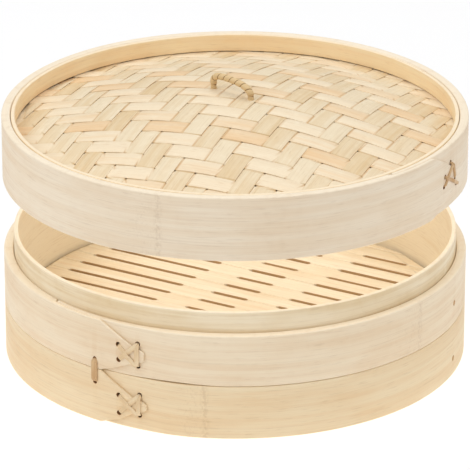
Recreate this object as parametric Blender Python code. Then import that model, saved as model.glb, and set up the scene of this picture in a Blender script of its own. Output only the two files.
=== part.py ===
"""Bamboo steamer basket: one tier of stacked outer bands on a taller inner hoop,
a floor of notched slats on two cross bars, and a domed woven lid lifted off its collar.

Metres, +Z up, Z = 0 on the table, the rings centred on the Z axis.
Angles are degrees from +X, counter-clockwise seen from above.
"""

import math
from dataclasses import dataclass

import bmesh
import bpy
from mathutils import Matrix, Vector

# ---------------------------------------------------------------- driving sizes
RIM_RADIUS = 0.127            # outside of every outer band
BAND_WALL = 0.00525           # lapped outer band, both plies together
LOWER_BAND_TOP = 0.0302
UPPER_BAND_TOP = 0.0594
HOOP_WALL = 0.0025
COLLAR_RISE = 0.0115          # hoop standing above the bands, which the lid fits over
STACKING_DEPTH = 0.0128       # free height under the hoop, for the collar of a tier below
FLOOR_TOP = 0.0235
SLAT_THICKNESS = 0.0030
SLAT_COUNT = 19
FIRST_SLAT_INSET = 0.048          # first slat's edge inside the wall, as a share of the pitch
SLOT_WIDTH = 0.0029
LEDGE_WIDTH = 0.0030
LEDGE_HEIGHT = 0.0072
BAR_WIDTH = 0.0140
BAR_HEIGHT = 0.0043

LID_LIFT = 0.0427             # gap between the seat and the lifted lid
LID_HEIGHT = 0.0355
LID_BAND_WALL = 0.0048
LID_RING_WALL = 0.0022
WEAVE_DROP = 0.0103           # woven top's edge below the lid's rim
DOME_RISE = 0.0185
DOME_POWER = 1.3
MAT_THICKNESS = 0.0010
LID_LOWER_RING_HEIGHT = 0.0080

CANE_WIDTH = 0.0026
CANE_THICKNESS = 0.0008
STITCH_HOLE_RADIUS = 0.00135
PEG_RADIUS = 0.0015

HANDLE_SPAN = 0.0272          # between the two feet
HANDLE_RISE = 0.0057          # axis to the arch's centre line
HANDLE_CANE_RADIUS = 0.0017

# ---------------------------------------------------------------- fits and angles
GLUE_GAP = 0.0003             # between pieces that are glued or wedged together
SLAT_GAP = 0.0003
COLLAR_CLEARANCE = 0.00075    # lid band round the collar

SLAT_ANGLE = -30.0
BAR_SKEW = math.degrees(math.atan(0.08))
BAR_OFFSETS = (-0.0288, 0.0127)        # along the slats, measured on the basket's centre
SLOT_WALL_MARGIN = 0.0120
STAPLE_ANGLES = (-125.9, 54.1)
PEG_ANGLE = -20.5
HANDLE_ANGLE = -42.3
HANDLE_CENTRE = (-0.0015, 0.0046)
RIB_SPREAD = 0.0440

RING_STEP = 5.0
LAP_SPAN = 28.0               # the inner end runs this far under the outer end
LAP_RAMP = 12.0

# outline of a lapped band's outer end: degrees from the tip, low and high edge as a share of the height
UPPER_TONGUE = ((-12.1, 0.0, 1.0), (-11.2, 0.004, 0.965), (-7.7, 0.121, 0.81), (-3.9, 0.242, 0.647),
                (-1.9, 0.287, 0.578), (-0.9, 0.315, 0.557), (0.0, 0.363, 0.516))
LOWER_TONGUE = ((-12.7, 0.0, 1.0), (-10.5, 0.007, 0.897), (-7.0, 0.151, 0.750), (-3.8, 0.295, 0.613),
                (-1.8, 0.341, 0.570), (-0.7, 0.371, 0.546), (0.0, 0.410, 0.503))
LID_TONGUE = ((-13.5, 0.0, 1.0), (-12.4, 0.020, 0.957), (-8.0, 0.145, 0.819), (-4.0, 0.268, 0.667),
              (-2.0, 0.319, 0.605), (-0.9, 0.348, 0.581), (0.0, 0.393, 0.539))

# stitch holes: degrees from the tip, share of the height
UPPER_STITCH = {"tl": (-6.8, 0.600), "bl": (-6.7, 0.300), "tr": (-1.8, 0.664), "br": (-1.8, 0.222)}
LOWER_STITCH = {"tl": (-7.4, 0.608), "bl": (-7.3, 0.268), "tr": (-2.0, 0.666), "br": (-2.1, 0.278)}
LID_STITCH = {"top": (-3.3, 0.707), "ml": (-7.8, 0.574), "bl": (-8.3, 0.425),
              "mr": (-1.7, 0.425), "lr": (0.9, 0.276)}

# ---------------------------------------------------------------- derived sizes
BAND_INNER = RIM_RADIUS - BAND_WALL
HOOP_OUTER = BAND_INNER - GLUE_GAP
HOOP_INNER = HOOP_OUTER - HOOP_WALL
COLLAR_TOP = UPPER_BAND_TOP + COLLAR_RISE
UPPER_BAND_BOTTOM = LOWER_BAND_TOP + GLUE_GAP
SLAT_BOTTOM = FLOOR_TOP - SLAT_THICKNESS
LEDGE_TOP = SLAT_BOTTOM - GLUE_GAP
LEDGE_BOTTOM = max(LEDGE_TOP - LEDGE_HEIGHT, STACKING_DEPTH + GLUE_GAP)
LEDGE_OUTER = HOOP_INNER - GLUE_GAP
FLOOR_RADIUS = HOOP_INNER - 0.00035
SLAT_PITCH = 2 * FLOOR_RADIUS / (SLAT_COUNT - FIRST_SLAT_INSET / 2)

LID_BOTTOM = UPPER_BAND_TOP + LID_LIFT
LID_TOP = LID_BOTTOM + LID_HEIGHT
LID_BAND_INNER = max(RIM_RADIUS - LID_BAND_WALL, HOOP_OUTER + COLLAR_CLEARANCE)
LID_RING_OUTER = LID_BAND_INNER - GLUE_GAP
LID_RING_INNER = LID_RING_OUTER - LID_RING_WALL
WEAVE_EDGE_TOP = LID_TOP - WEAVE_DROP
MAT_RADIUS = LID_BAND_INNER - 0.0005
LINING_DROP = MAT_THICKNESS + GLUE_GAP
RIB_THICKNESS = 0.0015
RIB_WIDTH = 0.0080
RIB_DROP = 2 * LINING_DROP + 0.0001
RIB_RADIUS = LID_RING_OUTER - 0.0008
LOWER_RING_TOP = WEAVE_EDGE_TOP - RIB_DROP
LOWER_RING_BOTTOM = max(LOWER_RING_TOP - LID_LOWER_RING_HEIGHT, LID_BOTTOM + COLLAR_RISE + 0.0007)

BAMBOO = (0.80, 0.64, 0.42)
BAMBOO_WARM = (0.76, 0.54, 0.28)
BAMBOO_PALE = (0.86, 0.72, 0.50)
CANE = (0.62, 0.42, 0.22)


@dataclass(frozen=True)
class Lap:
    """Where a lapped band's outer end tapers out."""

    tip: float
    tongue: tuple


UPPER_LAP = Lap(-112.3, UPPER_TONGUE)
LOWER_LAP = Lap(-111.7, LOWER_TONGUE)
LID_LAP = Lap(-20.4, LID_TONGUE)


# ---------------------------------------------------------------- helpers
def clear_scene():
    for obj in list(bpy.data.objects):
        bpy.data.objects.remove(obj, do_unlink=True)


def material(name, colour, roughness=0.6):
    mat = bpy.data.materials.new(name)
    mat.use_nodes = True
    shader = mat.node_tree.nodes["Principled BSDF"]
    shader.inputs["Base Color"].default_value = (*colour, 1.0)
    shader.inputs["Roughness"].default_value = roughness
    return mat


def polar(radius, angle, z):
    """Point at a radius and an angle in degrees."""
    turn = math.radians(angle)
    return Vector((radius * math.cos(turn), radius * math.sin(turn), z))


def add_object(name, verts, faces, mat, smooth=False):
    """Closed mesh object with every face turned outward."""
    mesh = bpy.data.meshes.new(name)
    mesh.from_pydata([tuple(v) for v in verts], [], faces)
    work = bmesh.new()
    work.from_mesh(mesh)
    bmesh.ops.recalc_face_normals(work, faces=work.faces)
    work.to_mesh(mesh)
    work.free()
    if smooth:
        mesh.shade_smooth()
    if mat:
        mesh.materials.append(mat)
    obj = bpy.data.objects.new(name, mesh)
    bpy.context.scene.collection.objects.link(obj)
    return obj


def baked(obj):
    """Replaces the object's mesh with what its modifiers give."""
    bpy.context.view_layer.update()
    graph = bpy.context.evaluated_depsgraph_get()
    mesh = bpy.data.meshes.new_from_object(obj.evaluated_get(graph))
    obj.modifiers.clear()
    obj.data = mesh
    return obj


def combine(obj, others, operation):
    """Exact Boolean of the object with each other one in turn, which is then removed."""
    for other in others:
        step = obj.modifiers.new(other.name, "BOOLEAN")
        step.operation = operation
        step.solver = "EXACT"
        step.object = other
    baked(obj)
    for other in others:
        bpy.data.objects.remove(other, do_unlink=True)
    return obj


def carve(obj, cutters):
    return combine(obj, cutters, "DIFFERENCE")


def ring_of_sections(name, sections, mat, closed):
    """Joins four-point sections (inner low, outer low, outer high, inner high) round the Z axis."""
    verts = [p for section in sections for p in section]
    count = len(sections)
    faces = []
    for i in range(count if closed else count - 1):
        a, b = 4 * i, 4 * ((i + 1) % count)
        faces += [(a + k, b + k, b + (k + 1) % 4, a + (k + 1) % 4) for k in range(4)]
    if not closed:
        last = 4 * (count - 1)
        faces += [(0, 1, 2, 3), (last + 3, last + 2, last + 1, last)]
    return add_object(name, verts, faces, mat)


def annulus(name, inner, outer, low, high, mat, step=RING_STEP):
    angles = [step * i for i in range(round(360 / step))]
    sections = [(polar(inner, a, low), polar(outer, a, low), polar(outer, a, high), polar(inner, a, high))
                for a in angles]
    return ring_of_sections(name, sections, mat, closed=True)


def between(x, table):
    """Straight-line reading of a table of (x, value) pairs."""
    if x <= table[0][0]:
        return table[0][1]
    for (x0, v0), (x1, v1) in zip(table, table[1:]):
        if x <= x1:
            return v0 + (v1 - v0) * (x - x0) / (x1 - x0)
    return table[-1][1]


def lapped_band(name, inner, low, high, lap, mat):
    """A band bent once round, its thinned inner end running under its tapered outer end."""
    wall = RIM_RADIUS - inner
    under_end, under_tip = 0.59 * wall, 0.23 * wall
    under = [(-LAP_SPAN, RIM_RADIUS - under_end), (0.0, RIM_RADIUS - under_tip), (LAP_RAMP, RIM_RADIUS)]
    over = [(-LAP_SPAN, RIM_RADIUS - under_end + GLUE_GAP), (0.0, RIM_RADIUS - under_tip + GLUE_GAP)]
    marks = {-LAP_SPAN + 0.2} | {offset for offset, _, _ in lap.tongue}
    marks |= {-3.5 * i for i in range(1, 8)}
    lap_marks = sorted(m for m in marks if m > -LAP_SPAN)
    lap_marks = [m for i, m in enumerate(lap_marks) if i == 0 or m - lap_marks[i - 1] > 0.3]
    start = math.ceil((lap.tip + LAP_RAMP + 0.5) / RING_STEP) * RING_STEP
    stop = lap.tip + 360 - LAP_SPAN - 1.0
    around = [start + RING_STEP * i for i in range(int((stop - start) / RING_STEP) + 1)]

    sections = []
    for offset in lap_marks + [LAP_RAMP * k / 4 for k in range(1, 5)]:
        a = lap.tip + offset
        outer = between(offset, under)
        sections.append((polar(inner, a, low), polar(outer, a, low), polar(outer, a, high), polar(inner, a, high)))
    for a in around + [lap.tip + 360 - LAP_SPAN - 0.3]:
        sections.append((polar(inner, a, low), polar(RIM_RADIUS, a, low),
                         polar(RIM_RADIUS, a, high), polar(inner, a, high)))
    bottoms = [(o, low + share * (high - low)) for o, share, _ in lap.tongue]
    tops = [(o, low + share * (high - low)) for o, _, share in lap.tongue]
    for offset in [-LAP_SPAN] + lap_marks:
        a = lap.tip + 360 + offset
        inside, z0, z1 = between(offset, over), between(offset, bottoms), between(offset, tops)
        sections.append((polar(inside, a, z0), polar(RIM_RADIUS, a, z0),
                         polar(RIM_RADIUS, a, z1), polar(inside, a, z1)))
    return ring_of_sections(name, sections, mat, closed=False)


def radial_pin(name, angle, z, radius, inner, outer, mat=None, sides=12):
    """Round bar lying along a radius: a peg, or the cutter for its hole."""
    out = polar(1, angle, 0)
    across = Vector((-out.y, out.x, 0))
    verts = []
    for reach in (inner, outer):
        for k in range(sides):
            turn = math.tau * k / sides
            verts.append(out * reach + Vector((0, 0, z)) + across * radius * math.cos(turn)
                         + Vector((0, 0, radius * math.sin(turn))))
    faces = [(k, (k + 1) % sides, sides + (k + 1) % sides, sides + k) for k in range(sides)]
    faces += [tuple(range(sides))[::-1], tuple(range(sides, 2 * sides))]
    return add_object(name, verts, faces, mat)


def polar_block(name, angle, half_width, low, high, inner, outer):
    """Cutter: a box on a radius."""
    out = polar(1, angle, 0)
    across = Vector((-out.y, out.x, 0))
    corners = [(inner, -1, low), (outer, -1, low), (outer, 1, low), (inner, 1, low)]
    verts = [out * r + across * side * half_width + Vector((0, 0, z)) for r, side, z in corners]
    verts += [v + Vector((0, 0, high - low)) for v in verts]
    faces = [(3, 2, 1, 0), (4, 5, 6, 7), (0, 1, 5, 4), (1, 2, 6, 5), (2, 3, 7, 6), (3, 0, 4, 7)]
    return add_object(name, verts, faces, None)


def offset_path(path, distance):
    """A flat polyline moved sideways by a distance, mitred at its corners."""
    moved = []
    for i, (x, y) in enumerate(path):
        before = path[max(i - 1, 0)]
        after = path[min(i + 1, len(path) - 1)]
        normals = []
        for (x0, y0), (x1, y1) in ((before, (x, y)), ((x, y), after)):
            length = math.hypot(x1 - x0, y1 - y0)
            if length > 1e-9:
                normals.append((-(y1 - y0) / length, (x1 - x0) / length))
        nx, ny = sum(n[0] for n in normals), sum(n[1] for n in normals)
        scale = math.hypot(nx, ny)
        nx, ny = nx / scale, ny / scale
        reach = distance / max(nx * normals[0][0] + ny * normals[0][1], 0.5)
        moved.append((x + nx * reach, y + ny * reach))
    return moved


def staple(name, start, end, run_radius, leg_radius, mat, width=CANE_WIDTH, crown=0.0, squeeze=0.0):
    """Flat cane over a band's face from one hole (angle, z) to another, its legs turned into the holes."""
    arc = math.radians(end[0] - start[0]) * RIM_RADIUS
    rise = end[1] - start[1]
    length = math.hypot(arc, rise)
    along = (arc / length, rise / length)
    side = (-along[1], along[0])
    sign = 1 if run_radius > leg_radius else -1
    bend = 0.0009
    path = [(0.0, leg_radius), (0.0, run_radius - sign * bend), (0.3 * bend, run_radius - sign * 0.3 * bend)]
    path += [(bend, run_radius)]
    path += [(length * f, run_radius + sign * crown * h)
             for f, h in ((0.3, 0.0), (0.42, 1.0), (0.58, 1.0), (0.7, 0.0))]
    path += [(length - bend, run_radius), (length - 0.3 * bend, run_radius - sign * 0.3 * bend)]
    path += [(length, run_radius - sign * bend), (length, leg_radius)]
    if not crown:
        path = path[:4] + [(length * 0.5, run_radius)] + path[8:]
    widths = [0.0018 - squeeze] * 3 + [width] * (len(path) - 6) + [0.0018 - squeeze] * 3
    thick = CANE_THICKNESS / 2 - squeeze / 4
    edges = [offset_path(path, thick), offset_path(path, -thick)]
    verts = []
    for i, across in enumerate(widths):
        for edge, flank in ((0, -1), (0, 1), (1, 1), (1, -1)):
            a, radius = edges[edge][i]
            u = along[0] * a + side[0] * flank * across / 2
            z = start[1] + along[1] * a + side[1] * flank * across / 2
            verts.append(polar(radius, start[0] + math.degrees(u / RIM_RADIUS), z))
    faces = []
    for i in range(len(widths) - 1):
        a, b = 4 * i, 4 * (i + 1)
        faces += [(a + k, b + k, b + (k + 1) % 4, a + (k + 1) % 4) for k in range(4)]
    last = 4 * (len(widths) - 1)
    faces += [(3, 2, 1, 0), (last, last + 1, last + 2, last + 3)]
    return add_object(name, verts, faces, mat)


def plank(name, direction, low_edge, high_edge, radius, z0, z1, mat, notches=()):
    """Board lying across the basket, its ends cut to a circle.

    notches: (edge, start, stop, depth) with edge 0 for the low side and 1 for the high side.
    """
    def reach(n):
        return math.sqrt(max(radius ** 2 - n ** 2, 1e-8))

    def edge_points(edge, n, inward):
        points = [(-reach(n), n)]
        for _, start, stop, depth in sorted(k for k in notches if k[0] == edge):
            taper = 0.0024
            points += [(start, n), (start + taper, n + inward * depth),
                       (stop - taper, n + inward * depth), (stop, n)]
        return points + [(reach(n), n)]

    low_points = edge_points(0, low_edge, 1)
    high_points = edge_points(1, high_edge, -1)
    middle = [low_edge + (high_edge - low_edge) * f for f in (0.33, 0.67)]
    outline = low_points + [(reach(n), n) for n in middle] + high_points[::-1]
    outline += [(-reach(n), n) for n in middle[::-1]]
    turn = math.radians(direction)
    u, v = Vector((math.cos(turn), math.sin(turn), 0)), Vector((-math.sin(turn), math.cos(turn), 0))
    count = len(outline)
    verts = [u * s + v * n + Vector((0, 0, z)) for z in (z0, z1) for s, n in outline]
    faces = [tuple(range(count))[::-1], tuple(range(count, 2 * count))]
    faces += [(k, (k + 1) % count, count + (k + 1) % count, count + k) for k in range(count)]
    return add_object(name, verts, faces, mat)


def tube(name, points, radius, mat, sides=8, round_ends=False):
    """Round bar along a path that lies in one upright plane."""
    points = [Vector(p) for p in points]
    chord = points[-1] - points[0]
    flat = Vector((chord.x, chord.y, 0)).normalized()
    normal = flat.cross(Vector((0, 0, 1)))
    tangents = [(points[min(i + 1, len(points) - 1)] - points[max(i - 1, 0)]).normalized()
                for i in range(len(points))]
    rings = [(p, t, radius) for p, t in zip(points, tangents)]
    if round_ends:
        for index, sense in ((0, -1), (-1, 1)):
            p, t, _ = rings[index]
            caps = [(p + t * sense * radius * 0.7, t, radius * 0.72), (p + t * sense * radius * 0.95, t, radius * 0.3)]
            rings = caps[::-1] + rings if sense < 0 else rings + caps
    verts = []
    for p, t, r in rings:
        other = t.cross(normal)
        for k in range(sides):
            turn = math.tau * k / sides
            verts.append(p + normal * r * math.cos(turn) + other * r * math.sin(turn))
    faces = []
    for i in range(len(rings) - 1):
        a, b = sides * i, sides * (i + 1)
        faces += [(a + k, a + (k + 1) % sides, b + (k + 1) % sides, b + k) for k in range(sides)]
    last = sides * (len(rings) - 1)
    faces += [tuple(range(sides))[::-1], tuple(range(last, last + sides))]
    return add_object(name, verts, faces, mat, smooth=True)


# ---------------------------------------------------------------- basket
def stitch_points(holes, lap, low, high):
    return {key: (lap.tip + offset, low + share * (high - low)) for key, (offset, share) in holes.items()}


def cross_stitch(name, holes, mat):
    """Cane X with an upright strip over the tongue, crossed by two upright runs in pockets behind."""
    outside = RIM_RADIUS + GLUE_GAP + CANE_THICKNESS / 2
    behind = BAND_INNER + 0.00025 + CANE_THICKNESS / 2
    middle = BAND_INNER + 0.0022
    first = staple(name, holes["bl"], holes["tr"], outside, middle - 0.0004, mat)
    others = [
        staple("over", holes["tl"], holes["br"], outside, middle - 0.00035, mat, squeeze=0.0001, crown=0.00095),
        staple("upright", holes["tr"], holes["br"], outside + 0.00005, middle - 0.0003, mat, squeeze=0.0002,
               width=CANE_WIDTH - 0.0003),
        staple("behind_left", holes["bl"], holes["tl"], behind, middle + 0.0004, mat, squeeze=0.0001),
        staple("behind_right", holes["br"], holes["tr"], behind, middle + 0.0004, mat, squeeze=0.0001),
    ]
    return combine(first, others, "UNION")


def stitch_cuts(holes, inner, outer):
    """Cutters for a stitch: its holes, and a pocket for each run behind."""
    cuts = [radial_pin("hole", a, z, STITCH_HOLE_RADIUS, inner - 0.002, outer + 0.002)
            for a, z in holes.values()]
    return cuts


def pocket(a, b, inner):
    """Cutter for an upright run of cane behind a band, between holes a and b."""
    low, high = sorted((a[1], b[1]))
    angle = (a[0] + b[0]) / 2
    half = CANE_WIDTH / 2 + 0.0005 + abs(math.radians(a[0] - b[0])) * inner / 2
    return polar_block("pocket", angle, half, low - 0.0008, high + 0.0008, inner - 0.002, inner + 0.0014)


def build_bands(mats):
    upper_holes = stitch_points(UPPER_STITCH, UPPER_LAP, UPPER_BAND_BOTTOM, UPPER_BAND_TOP)
    lower_holes = stitch_points(LOWER_STITCH, LOWER_LAP, 0.0, LOWER_BAND_TOP)
    staple_low, staple_high = LOWER_BAND_TOP - 0.0076, UPPER_BAND_BOTTOM + 0.0054
    upper_peg_z = UPPER_BAND_BOTTOM + 0.42 * (UPPER_BAND_TOP - UPPER_BAND_BOTTOM)
    lower_peg_z = 0.327 * LOWER_BAND_TOP

    upper = lapped_band("upper_outer_band", BAND_INNER, UPPER_BAND_BOTTOM, UPPER_BAND_TOP, UPPER_LAP, mats["band"])
    lower = lapped_band("lower_outer_band", BAND_INNER, 0.0, LOWER_BAND_TOP, LOWER_LAP, mats["band"])
    hoop = annulus("inner_hoop", HOOP_INNER, HOOP_OUTER, STACKING_DEPTH, COLLAR_TOP, mats["hoop"])

    for band, holes, staple_z, peg_z in ((upper, upper_holes, staple_high, upper_peg_z),
                                         (lower, lower_holes, staple_low, lower_peg_z)):
        cuts = stitch_cuts(holes, BAND_INNER, RIM_RADIUS)
        cuts += [pocket(holes["tl"], holes["bl"], BAND_INNER), pocket(holes["tr"], holes["br"], BAND_INNER)]
        for angle in STAPLE_ANGLES:
            cuts.append(radial_pin("hole", angle, staple_z, STITCH_HOLE_RADIUS, BAND_INNER - 0.002, RIM_RADIUS + 0.002))
            end = LOWER_BAND_TOP + GLUE_GAP / 2
            cuts.append(pocket((angle, staple_z), (angle, end + math.copysign(0.002, end - staple_z)), BAND_INNER))
        cuts.append(radial_pin("hole", PEG_ANGLE, peg_z, PEG_RADIUS + GLUE_GAP, BAND_INNER - 0.002, RIM_RADIUS + 0.002))
        carve(band, cuts)
    carve(hoop, [radial_pin("hole", PEG_ANGLE, upper_peg_z, PEG_RADIUS + GLUE_GAP,
                            HOOP_INNER - 0.002, HOOP_OUTER + 0.002)])

    laces = [cross_stitch("upper_band_lacing", upper_holes, mats["cane"]),
             cross_stitch("lower_band_lacing", lower_holes, mats["cane"])]
    outside = RIM_RADIUS + GLUE_GAP + CANE_THICKNESS / 2
    behind = BAND_INNER + 0.00025 + CANE_THICKNESS / 2
    middle = BAND_INNER + 0.0022
    for name, angle in zip(("seam_lacing_front", "seam_lacing_back"), STAPLE_ANGLES):
        front = staple(name, (angle, staple_low), (angle, staple_high), outside, middle - 0.0004, mats["cane"])
        back = staple("behind", (angle, staple_low), (angle, staple_high), behind, middle + 0.0004, mats["cane"],
                      squeeze=0.0001)
        laces.append(combine(front, [back], "UNION"))

    pegs = [radial_pin("upper_band_peg", PEG_ANGLE, upper_peg_z, PEG_RADIUS, HOOP_INNER, RIM_RADIUS + 0.0002, mats["peg"]),
            radial_pin("lower_band_peg", PEG_ANGLE, lower_peg_z, PEG_RADIUS, BAND_INNER + 0.0001, RIM_RADIUS + 0.0002,
                       mats["peg"])]
    return [upper, lower, hoop, *laces, *pegs]


def slot_spans(n):
    """Start and end of each slot that lies on the slat boundary at n."""
    skew = math.tan(math.radians(BAR_SKEW)) * n
    left_bar, right_bar = (offset + skew for offset in BAR_OFFSETS)
    wall = math.sqrt(max(FLOOR_RADIUS ** 2 - n ** 2, 0.0)) - SLOT_WALL_MARGIN
    clear = BAR_WIDTH / 2 + 0.0021
    spans = [(-wall, left_bar - clear), (left_bar + clear, right_bar - clear), (right_bar + clear, wall)]
    return [(max(a, -wall), min(b, wall)) for a, b in spans if min(b, wall) - max(a, -wall) > 0.010]


def build_floor(mats):
    pieces = []
    bar_low = LEDGE_TOP - BAR_HEIGHT
    ledge = annulus("floor_ledge_ring", LEDGE_OUTER - LEDGE_WIDTH, LEDGE_OUTER, LEDGE_BOTTOM, LEDGE_TOP, mats["slat"])
    cuts = []
    for name, offset in zip(("cross_bar_left", "cross_bar_right"), BAR_OFFSETS):
        centre = -offset * math.cos(math.radians(BAR_SKEW))
        direction = SLAT_ANGLE + 90 - BAR_SKEW
        pieces.append(plank(name, direction, centre - BAR_WIDTH / 2, centre + BAR_WIDTH / 2, LEDGE_OUTER - 0.0001,
                            bar_low, LEDGE_TOP, mats["slat"]))
        cuts.append(plank("notch", direction, centre - BAR_WIDTH / 2 - GLUE_GAP, centre + BAR_WIDTH / 2 + GLUE_GAP,
                          LEDGE_OUTER + 0.004, bar_low - GLUE_GAP, LEDGE_TOP + 0.002, None))
    pieces.append(carve(ledge, cuts))

    depth = SLOT_WIDTH / 2 - SLAT_GAP / 2
    for index in range(SLAT_COUNT):
        edge = -FLOOR_RADIUS + (index + FIRST_SLAT_INSET) * SLAT_PITCH
        low = edge + SLAT_GAP / 2
        high = min(edge + SLAT_PITCH - SLAT_GAP / 2, FLOOR_RADIUS - SLAT_GAP)
        notches = [(0, a, b, depth) for a, b in slot_spans(edge)]
        notches += [(1, a, b, depth) for a, b in slot_spans(edge + SLAT_PITCH)]
        pieces.append(plank(f"slat_{index + 1:02d}", SLAT_ANGLE, low, high, FLOOR_RADIUS, SLAT_BOTTOM, FLOOR_TOP,
                            mats["slat"], notches))
    return pieces


# ---------------------------------------------------------------- lid
def dome(radius):
    """Height of the woven top over its edge plane."""
    share = max(1 - (radius / LID_RING_INNER) ** 2, 0.0)
    return DOME_RISE * share ** DOME_POWER


def dome_shell(name, drop, mat):
    """Domed mat with its top face a drop below the woven surface."""
    sides, steps = 40, 8
    rings = [MAT_RADIUS * math.sin(math.pi / 2 * k / steps) for k in range(steps, 0, -1)]
    verts, faces = [], []
    for level in (0.0, -MAT_THICKNESS):
        for r in rings:
            verts += [polar(r, 360 * k / sides, WEAVE_EDGE_TOP - drop + dome(r) + level) for k in range(sides)]
        verts.append(Vector((0, 0, WEAVE_EDGE_TOP - drop + dome(0) + level)))
    sheet = sides * len(rings) + 1
    for level in (0, 1):
        base = level * sheet
        for i in range(len(rings) - 1):
            a, b = base + sides * i, base + sides * (i + 1)
            faces += [(a + k, a + (k + 1) % sides, b + (k + 1) % sides, b + k)[::1 - 2 * level] for k in range(sides)]
        a = base + sides * (len(rings) - 1)
        faces += [(a + k, a + (k + 1) % sides, base + sheet - 1)[::1 - 2 * level] for k in range(sides)]
    faces += [(k, sheet + k, sheet + (k + 1) % sides, (k + 1) % sides) for k in range(sides)]
    return add_object(name, verts, faces, mat, smooth=True)


def rib(name, direction, offset, level, centre, mat, grow=0.0, top=None):
    """Splint bent under the mats, along a direction and at an offset across it from a centre."""
    turn = math.radians(direction)
    u, v = Vector((math.cos(turn), math.sin(turn), 0)), Vector((-math.sin(turn), math.cos(turn), 0))
    across = centre.dot(v) + offset
    half = math.sqrt(RIB_RADIUS ** 2 - (abs(across) + RIB_WIDTH / 2) ** 2) + grow * 4
    steps = 20
    sections = []
    for i in range(steps + 1):
        s = half * math.sin(math.pi / 2 * (2 * i / steps - 1))
        section = []
        for side, is_top in ((-1, 0), (1, 0), (1, 1), (-1, 1)):
            n = across + side * (RIB_WIDTH / 2 + grow)
            flat = u * s + v * n
            high = WEAVE_EDGE_TOP - RIB_DROP - level + dome(flat.length)
            z = high - RIB_THICKNESS - grow if not is_top else (high if top is None else top)
            section.append(flat + Vector((0, 0, z)))
        sections.append(section)
    return ring_of_sections(name, sections, mat, closed=False)


def handle_path(axis_z):
    """Centre line of the arch, foot to foot, in world space."""
    turn = math.radians(HANDLE_ANGLE)
    u = Vector((math.cos(turn), math.sin(turn), 0))
    centre = Vector((*HANDLE_CENTRE, axis_z))
    shape = [(-0.500, 0.0), (-0.505, 0.35), (-0.485, 0.66), (-0.405, 0.92), (-0.27, 1.02), (-0.10, 1.03),
             (0.08, 0.98), (0.25, 0.86), (0.385, 0.66), (0.475, 0.38), (0.500, 0.0)]
    return [centre + u * s * HANDLE_SPAN + Vector((0, 0, h * HANDLE_RISE)) for s, h in shape]


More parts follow.
